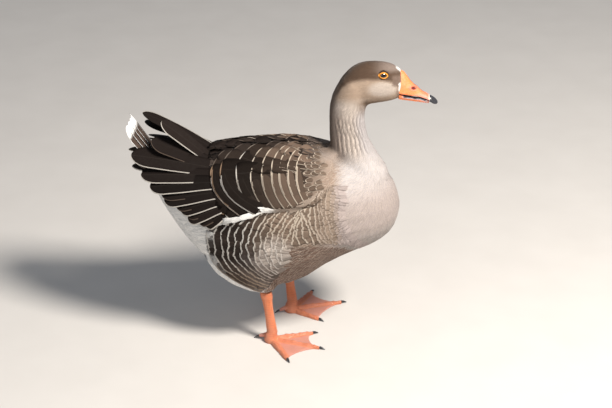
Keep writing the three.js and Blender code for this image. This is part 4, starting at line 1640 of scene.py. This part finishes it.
def carved_upper(points, normals):
    """The nostril pressed in, its rim swollen, and fine wrinkles at the base."""
    place = head_place(points)
    x, y, z = place.T
    away = from_nostril(place)
    rim = fade(2.2, 1.3, away) * fade(0.7, 1.2, away)
    wrinkle = np.sin(z * 1.1 + x * 0.5) * np.sin(x * 0.8)
    points = carve(points, normals, 2.0, fade(1.0, 0.35, away) * (np.abs(y) > 2))
    points = carve(points, normals, -0.55, rim)
    return carve(points, normals, -0.16 * fade(230, 212, x), wrinkle)


def upper_colours(points, normals):
    """Orange, pinker in front, with a dark ridge, a pale tip and painted shade along the mouth."""
    place = head_place(points)
    x, y, z = place.T
    away = from_nostril(place)
    above_mouth = z - along_line(x, MOUTH)
    lip = fade(4.5, 2.0, above_mouth) * fade(222, 240, x)
    ridge = fade(4.0, 2.4, np.abs(y)) * fade(216, 222, x) * fade(252, 244, x)
    return layered(
        points,
        ORANGE,
        (ORANGE_BASE, fade(232, 214, x)),
        (FRONT_PINK, fade(234, 252, x) * 0.85),
        (NOSTRIL_PINK, fade(2.6, 1.0, away) * 0.55),
        # painted shade in the nostril's opening
        (NOSTRIL_SHADE, fade(1.1, 0.6, away)),
        (LIP_PINK, lip * 0.5),
        # painted shade along the line where the halves meet
        (MOUTH_GAP_SHADE, fade(1.3, 0.6, above_mouth)),
        (RIDGE_DARK, ridge * (normals[:, 2] > 0.2) * 0.85),
        (TIP_PALE, fade(255.5, 257.5, x)),
    )


shape = deepened(carved_upper(upper, upper_normals))
bill_upper = mesh_object("bill_upper_skin", shape, upper_faces, ["bill_upper"])
paint(bill_upper, "Tint", upper_colours(upper, upper_normals))

# %% The bill's lower half, with the slot along the mouth and the lamellae that stand in it
LOWER_ORANGE = (0.93, 0.25, 0.08)
LOWER_PINK = (0.82, 0.28, 0.18)
LIP_PALE = (1.0, 1.0, 1.0)
SLATE_AND_SHADE = (0.035, 0.045, 0.06)
CREST_PALE_AND_GLINT = (0.30, 0.36, 0.44)
x, _, z = head_place(lower).T
below_mouth = along_line(x, MOUTH) - z
slot = fade(6.0, 4.6, below_mouth) * fade(208, 214, x) * fade(256, 250, x)
comb = 0.5 + 0.5 * np.cos(x * 2 * math.pi / LAMELLA)
shape = carve(lower, lower_normals, 1.2, slot)
shape = carve(shape, lower_normals, -0.8, slot * comb * fade(1.0, 2.2, below_mouth))
shape = deepened(shape, LOWER_LIFT)
bill_lower = mesh_object("bill_lower_skin", shape, lower_faces, ["bill_lower"])
# the lamellae's crests: their own pale colour, with a painted blue glint
crests = fade(0.55, 0.9, comb) * fade(1.2, 2.6, below_mouth)
# the slot: its own dark slate, deepened with painted shade in the recess
slate = layered(lower, SLATE_AND_SHADE, (CREST_PALE_AND_GLINT, crests))
pink_front = (LOWER_PINK, fade(235, 252, x))
paint(bill_lower, "Tint", layered(lower, LOWER_ORANGE, pink_front, (LIP_PALE, slot), (slate, slot)))

# %% The bill's material
BILL_FLUSH = linear(0.85, 0.24, 0.17)
SKIN_DEPTH = (0.004, 0.0015, 0.0008)  # how far red, green and blue light spread under bare skin
bill_skin, shader, w = new_material("bill_skin")
place = w.place()
cloud = w.noise(place, 190.0, 3.0)
pores = w.noise(place, 1400.0, 2.0)
tint = w.attribute("Tint")
flushed = w.mix(w.ramp(cloud, 0.35, 0.7, 0.0, 0.30), tint, BILL_FLUSH)
w.feed(
    shader,
    Base_Color=w.mix(0.45, tint, flushed),
    Roughness=w.ramp(pores, 0.2, 0.8, 0.36, 0.52),
    Specular_IOR_Level=0.3,
    Normal=w.bump(w.plus(w.times(cloud, 2.0), pores), 0.0003),
    Subsurface_Weight=0.12,
    Subsurface_Radius=SKIN_DEPTH,
)
bill_upper.data.materials.append(bill_skin)
bill_lower.data.materials.append(bill_skin)

# %% Horn, for the nail of the bill and the claws
black_horn, shader, w = new_material("black_horn")
grain = w.noise(w.place(), 600.0, 4.0)
w.feed(
    shader,
    Base_Color=w.mix(grain, linear(0.012, 0.013, 0.017), linear(0.05, 0.05, 0.058)),
    Roughness=w.ramp(grain, 0.3, 0.7, 0.22, 0.42),
    Normal=w.bump(grain, 0.0002),
)
place = head_place(deepened(nail))
place[:, 0] -= 1.6 * fade(261, 258.5, place[:, 0])  # its rear runs into the bill
nail_piece = mesh_object("bill_nail_horn", from_head(place), nail_faces, ["bill_nail"])
nail_piece.data.materials.append(black_horn)
print("the bill is done")

# %% [markdown]
# ## The eyes
# The eyeball stands a little proud of the feathers, dark brown with a black pupil under a
# clear wet surface. An orange lid rings it, pointed at front and back. The lid is a soft
# roll that runs from the ball out to the feathers, so it follows both.

# %% Eyeballs and lids
EYE_RADIUS = 8.2
LID_POINTS = 48
# Rows of the lid, from the ball's edge out to under the feathers: how wide, how high and how proud.
LID_ROWS = [(5.6, 3.7, 0.0), (5.8, 3.95, 0.4), (6.25, 4.35, 0.75)]
LID_ROWS += [(6.9, 4.9, 0.7), (7.6, 5.5, 0.3), (8.4, 6.2, -0.6)]

eye_wet, shader, w = new_material("eye_wet")
away = w.attribute("Tint")
streaks = w.ramp(w.noise(w.place(), 900.0, 3.0), 0.3, 0.7)
iris = w.mix(streaks, linear(0.030, 0.012, 0.006), linear(0.075, 0.032, 0.014))
from_middle = w.node("ShaderNodeSeparateColor", Color=away).outputs["Red"]
w.feed(
    shader,
    Base_Color=w.mix(w.ramp(from_middle, 0.36, 0.42), linear(0.002, 0.002, 0.002), iris),
    Roughness=0.05,
    Coat_Weight=1.0,
    Coat_Roughness=0.02,
)

orange_lid, shader, w = new_material("orange_lid")
grain = w.noise(w.place(), 1500.0, 2.0)
w.feed(
    shader,
    Base_Color=w.mix(grain, linear(0.70, 0.25, 0.025), linear(0.82, 0.36, 0.05)),
    Roughness=w.ramp(grain, 0.3, 0.7, 0.35, 0.5),
    Normal=w.bump(grain, 0.0002),
)


def ball(radius, rings, around):
    """A ball from rings of points, as points and faces, its pole towards +Z."""
    points = [(0, 0, radius)]
    for r in range(1, rings):
        polar = math.pi * r / rings
        reach = radius * math.sin(polar)
        for a in range(around):
            turn = 2 * math.pi * a / around
            points.append((reach * math.cos(turn), reach * math.sin(turn), radius * math.cos(polar)))
    points.append((0, 0, -radius))
    faces = []
    for a in range(around):
        b = (a + 1) % around
        faces.append((0, 1 + a, 1 + b))
        for first in range(1, 1 + (rings - 2) * around, around):
            faces.append((first + a, first + around + a, first + around + b, first + b))
        last = 1 + (rings - 2) * around
        faces.append((last + a, len(points) - 1, last + b))
    return np.array(points, float), faces


def eye_axes(side):
    """The eye's centre and its outward, forward and upward directions, in the goose's frame."""
    centre = EYE * (1, side, 1)
    looks = unit(np.array((0.10, side * 1.0, 0.10)))
    ahead = unit(np.array((1.0, 0.0, -0.04)) - looks * looks[0])
    up = np.cross(looks, ahead) * -side
    if up[2] < 0:
        up = -up
    home = from_head(centre)
    return home, [from_head(centre + way) - home for way in (looks, ahead, up)]


def wound(faces, side):
    """Faces that are wound for the right side, turned over for the left one."""
    return faces if side == RIGHT else [face[::-1] for face in faces]


def make_eyeball(name, side):
    home, (looks, ahead, up) = eye_axes(side)
    shape, faces = ball(EYE_RADIUS, 20, 28)
    points = home + shape[:, :1] * ahead + shape[:, 1:2] * up + shape[:, 2:] * looks
    made = mesh_object("eyeball_" + name, points, wound(faces, side), ["eye_" + name])
    off_middle = np.hypot(shape[:, 0], shape[:, 1]) / EYE_RADIUS + (shape[:, 2] < 0) * 1.0
    paint(made, "Tint", np.repeat(off_middle[:, None], 3, 1))
    made.data.materials.append(eye_wet)


def lid_row(axes, home, wide, high, proud):
    """One ring of the lid. It leaves the ball and comes down to the skin as it widens."""
    looks, ahead, up = axes
    turn = np.linspace(0, 2 * math.pi, LID_POINTS, endpoint=False)
    forward = wide * np.cos(turn) * (1 + 0.10 * np.abs(np.cos(turn)) ** 6)
    upward = high * np.sin(turn)
    start = home + forward[:, None] * ahead + upward[:, None] * up
    reach = np.hypot(forward, upward)
    on_ball = np.sqrt(np.maximum((EYE_RADIUS + 0.15) ** 2 - reach**2, 1.0))
    found = cast(start + looks * 30, np.broadcast_to(-looks, start.shape))
    depth = ((found - start) * looks).sum(1)
    depth = np.where(np.isnan(depth), on_ball, depth)
    share = fade(5.6, 8.0, wide)
    level = np.maximum(on_ball * (1 - share) + (depth + 0.6) * share, on_ball)
    return start + looks * (level + proud)[:, None]


def make_lid(name, side):
    home, axes = eye_axes(side)
    lid = [lid_row(axes, home, *row) for row in LID_ROWS]
    # two more rings are its back, so that the roll is closed
    points = np.concatenate([*lid, lid[0] - axes[0] * 2.0, lid[-1] - axes[0] * 1.5])
    rows = len(lid)

    def between(row, other):
        """Quads from one ring to another."""
        ends = [(a, (a + 1) % LID_POINTS) for a in range(LID_POINTS)]
        row, other = row * LID_POINTS, other * LID_POINTS
        return [(row + a, other + a, other + b, row + b) for a, b in ends]

    pairs = [(row, row + 1) for row in range(rows - 1)]
    pairs += [(rows - 1, rows + 1), (rows + 1, rows), (rows, 0)]
    faces = [quad for pair in pairs for quad in between(*pair)]
    made = mesh_object("lid_" + name, points, wound(faces, side))
    made.data.materials.append(orange_lid)


for name, side in SIDES.items():
    make_eyeball(name, side)
    make_lid(name, side)
print("the eyes are done")

# %% [markdown]
# ## Legs and feet
# Shanks and feet are scaled skin. Remeshed from their solids, they are carved too: rings of
# broad scales round the shank, knuckles along the toes, thin webs that sag between them and
# fine folds running out from the ankle. Small round scales are bump in the material.

# %% Shanks and feet
# Where each shank leaves the body, where it meets the foot, and which way its toes reach, as
# distances forward and outward.
LEGS = {
    "right": {"hock": (-31, 62), "ankle": (-20, 60), "toes": ((74, -26), (86, 30), (28, 72))},
    "left": {"hock": (6, 62), "ankle": (16, 57), "toes": ((50, -38), (92, 30), (36, 72))},
}
LEG_ORANGE = (0.74, 0.25, 0.12)
WEB_PINK = (0.68, 0.31, 0.25)
TOE_RED = (0.70, 0.22, 0.12)
SHANK_ORANGE = (0.76, 0.23, 0.095)
RING_DARK = (0.40, 0.10, 0.06)
SCALE_DARK = (0.45, 0.13, 0.08)
LEG_VOXEL = 1.25


def toe_distances(flat, toes):
    """How far places are from the nearest toe's line, and how far along it they are."""
    nearest_gap = np.full(len(flat), 99.0)
    along_toe = np.zeros(len(flat))
    for toe in toes:
        toe = toe / np.linalg.norm(toe)
        along = flat @ toe
        gap = np.abs(flat[:, 0] * toe[1] - flat[:, 1] * toe[0])
        nearer = (gap < nearest_gap) & (along > -4)
        nearest_gap = np.where(nearer, gap, nearest_gap)
        along_toe = np.where(nearer, along, along_toe)
    return nearest_gap, along_toe


def make_leg(name, side, ankle, toes):
    points, faces = refined(["shank_" + name, "foot_" + name], "leg", LEG_VOXEL, 5)
    normals = point_normals(points, faces)
    height = points[:, 2]
    flat = points[:, :2] - np.array(ankle) * (1, side)
    reach = np.linalg.norm(flat, axis=1)
    # rings of scales on the shank, and folds across the ankle
    on_shank = fade(26, 34, height)
    rings = np.abs(np.sin(height * math.pi / 5.2 + 0.5 * np.sin(points[:, 0] * 0.25)))
    on_ankle = fade(34, 24, height) * fade(9, 16, height) * fade(34, 18, reach)
    folds = np.abs(np.sin(height * math.pi / 3.4)) * on_ankle
    # scales and knuckles along the toes
    gap, along_toe = toe_distances(flat, np.array(toes, float) * (1, side))
    low = fade(20, 14, height) * fade(10, 22, reach)
    on_toe = fade(5.5, 3.0, gap) * low * (normals[:, 2] > 0.1)
    scales = np.abs(np.sin(along_toe * math.pi / 3.6))
    knuckle = np.cos(along_toe * 2 * math.pi / 27.0) ** 6
    # creases that run out over the webs
    web = fade(4.5, 9.0, gap) * low
    bearing = np.arctan2(flat[:, 1], flat[:, 0])
    creases = 0.5 * np.sin(bearing * 46) + 0.5 * np.sin(bearing * 23 + reach * 0.08)
    shape = carve(points, normals, 0.55 * on_shank, (1 - rings) ** 3)
    shape = carve(shape, normals, 0.5, folds)
    shape = carve(shape, normals, 0.45 * on_toe, (1 - scales) ** 2)
    shape = carve(shape, normals, -0.9 * on_toe, knuckle)
    shape = carve(shape, normals, 0.28 * web * fade(12, 40, reach), creases * (normals[:, 2] > 0.3))
    shape[:, 2] = np.maximum(shape[:, 2], 0.0)
    made = mesh_object("leg_" + name, shape, faces, ["shank_" + name, "foot_" + name])
    colour = layered(
        points,
        LEG_ORANGE,
        (WEB_PINK, web * 0.9),
        (TOE_RED, on_toe * 0.6),
        (SHANK_ORANGE, on_shank),
        (RING_DARK, np.clip((1 - rings) ** 6 * on_shank * 0.5 + folds * 0.35, 0, 1)),
        (SCALE_DARK, np.clip((1 - scales) ** 4 * on_toe * 0.45, 0, 1)),
    )
    paint(made, "Tint", colour)
    made.data.materials.append(leg_scales)


leg_scales, shader, w = new_material("leg_scales")
place = w.place()
cells = w.node("ShaderNodeTexVoronoi", {"feature": "DISTANCE_TO_EDGE"}, Vector=place, Scale=620.0)
cloud = w.noise(place, 70.0, 3.0)
tint = w.attribute("Tint")
mottled = w.mix(w.ramp(cloud, 0.3, 0.75, 0.0, 0.45), tint, w.mix(0.5, tint, linear(0.90, 0.42, 0.30)))
inside_cell = w.ramp(cells.outputs["Distance"], 0.0, 0.10)
seam = w.times(w.minus(1.0, inside_cell), 0.12)
w.feed(
    shader,
    Base_Color=w.mix(seam, mottled, linear(0.35, 0.09, 0.05)),
    Roughness=w.ramp(cloud, 0.3, 0.7, 0.36, 0.55),
    Normal=w.bump(w.plus(inside_cell, cloud), 0.0004),
    Subsurface_Weight=0.08,
    Subsurface_Radius=SKIN_DEPTH,
)
for name, leg in LEGS.items():
    make_leg(name, SIDES[name], leg["ankle"], leg["toes"])

for node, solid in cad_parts.items():
    if node.startswith("claw_"):
        solid.data.materials.clear()
        solid.data.materials.append(black_horn)
print("the legs are done")


# %% Fluff where the shanks leave the body
FLUFF = (0.42, 0.36, 0.31)
FLUFF_FEATHERS = 90


def shank_fluff(side, hock):
    """Short soft feathers that hang round the top of a shank."""
    count = FLUFF_FEATHERS
    turn = rng.uniform(0, 2 * math.pi, count)
    outward = np.stack([np.cos(turn), np.sin(turn), np.zeros(count)], -1)
    centre = np.array((hock[0], side * hock[1], 0.0))
    height = rng.uniform(122, 142, count)[:, None] * (0, 0, 1)
    roots = centre + outward * rng.uniform(8.5, 12.5, (count, 1)) + height
    stray = rng.normal(0, 1.2, (count, 3))
    tips = roots - outward * 2.5 + stray - rng.uniform(13, 21, count)[:, None] * (0, 0, 1)
    places = roots[:, None] + (tips - roots)[:, None] * FINE[0][None, :, None]
    normals = np.broadcast_to(outward[:, None], places.shape)
    points, vanes, faces = blades(places, normals, FINE, 2.2, camber=0.1, thickness=0.2, bend=20)
    _, _, first = nearest(roots)
    tint = np.ones((count, 3)) * FLUFF
    return Batch(points, vanes, faces, first, tint, tint, 0.5, 0.0)


fluff = [shank_fluff(SIDES[name], leg["hock"]) for name, leg in LEGS.items()]
plumage_piece("feathers_shank_tops", fluff, soft_plumage)
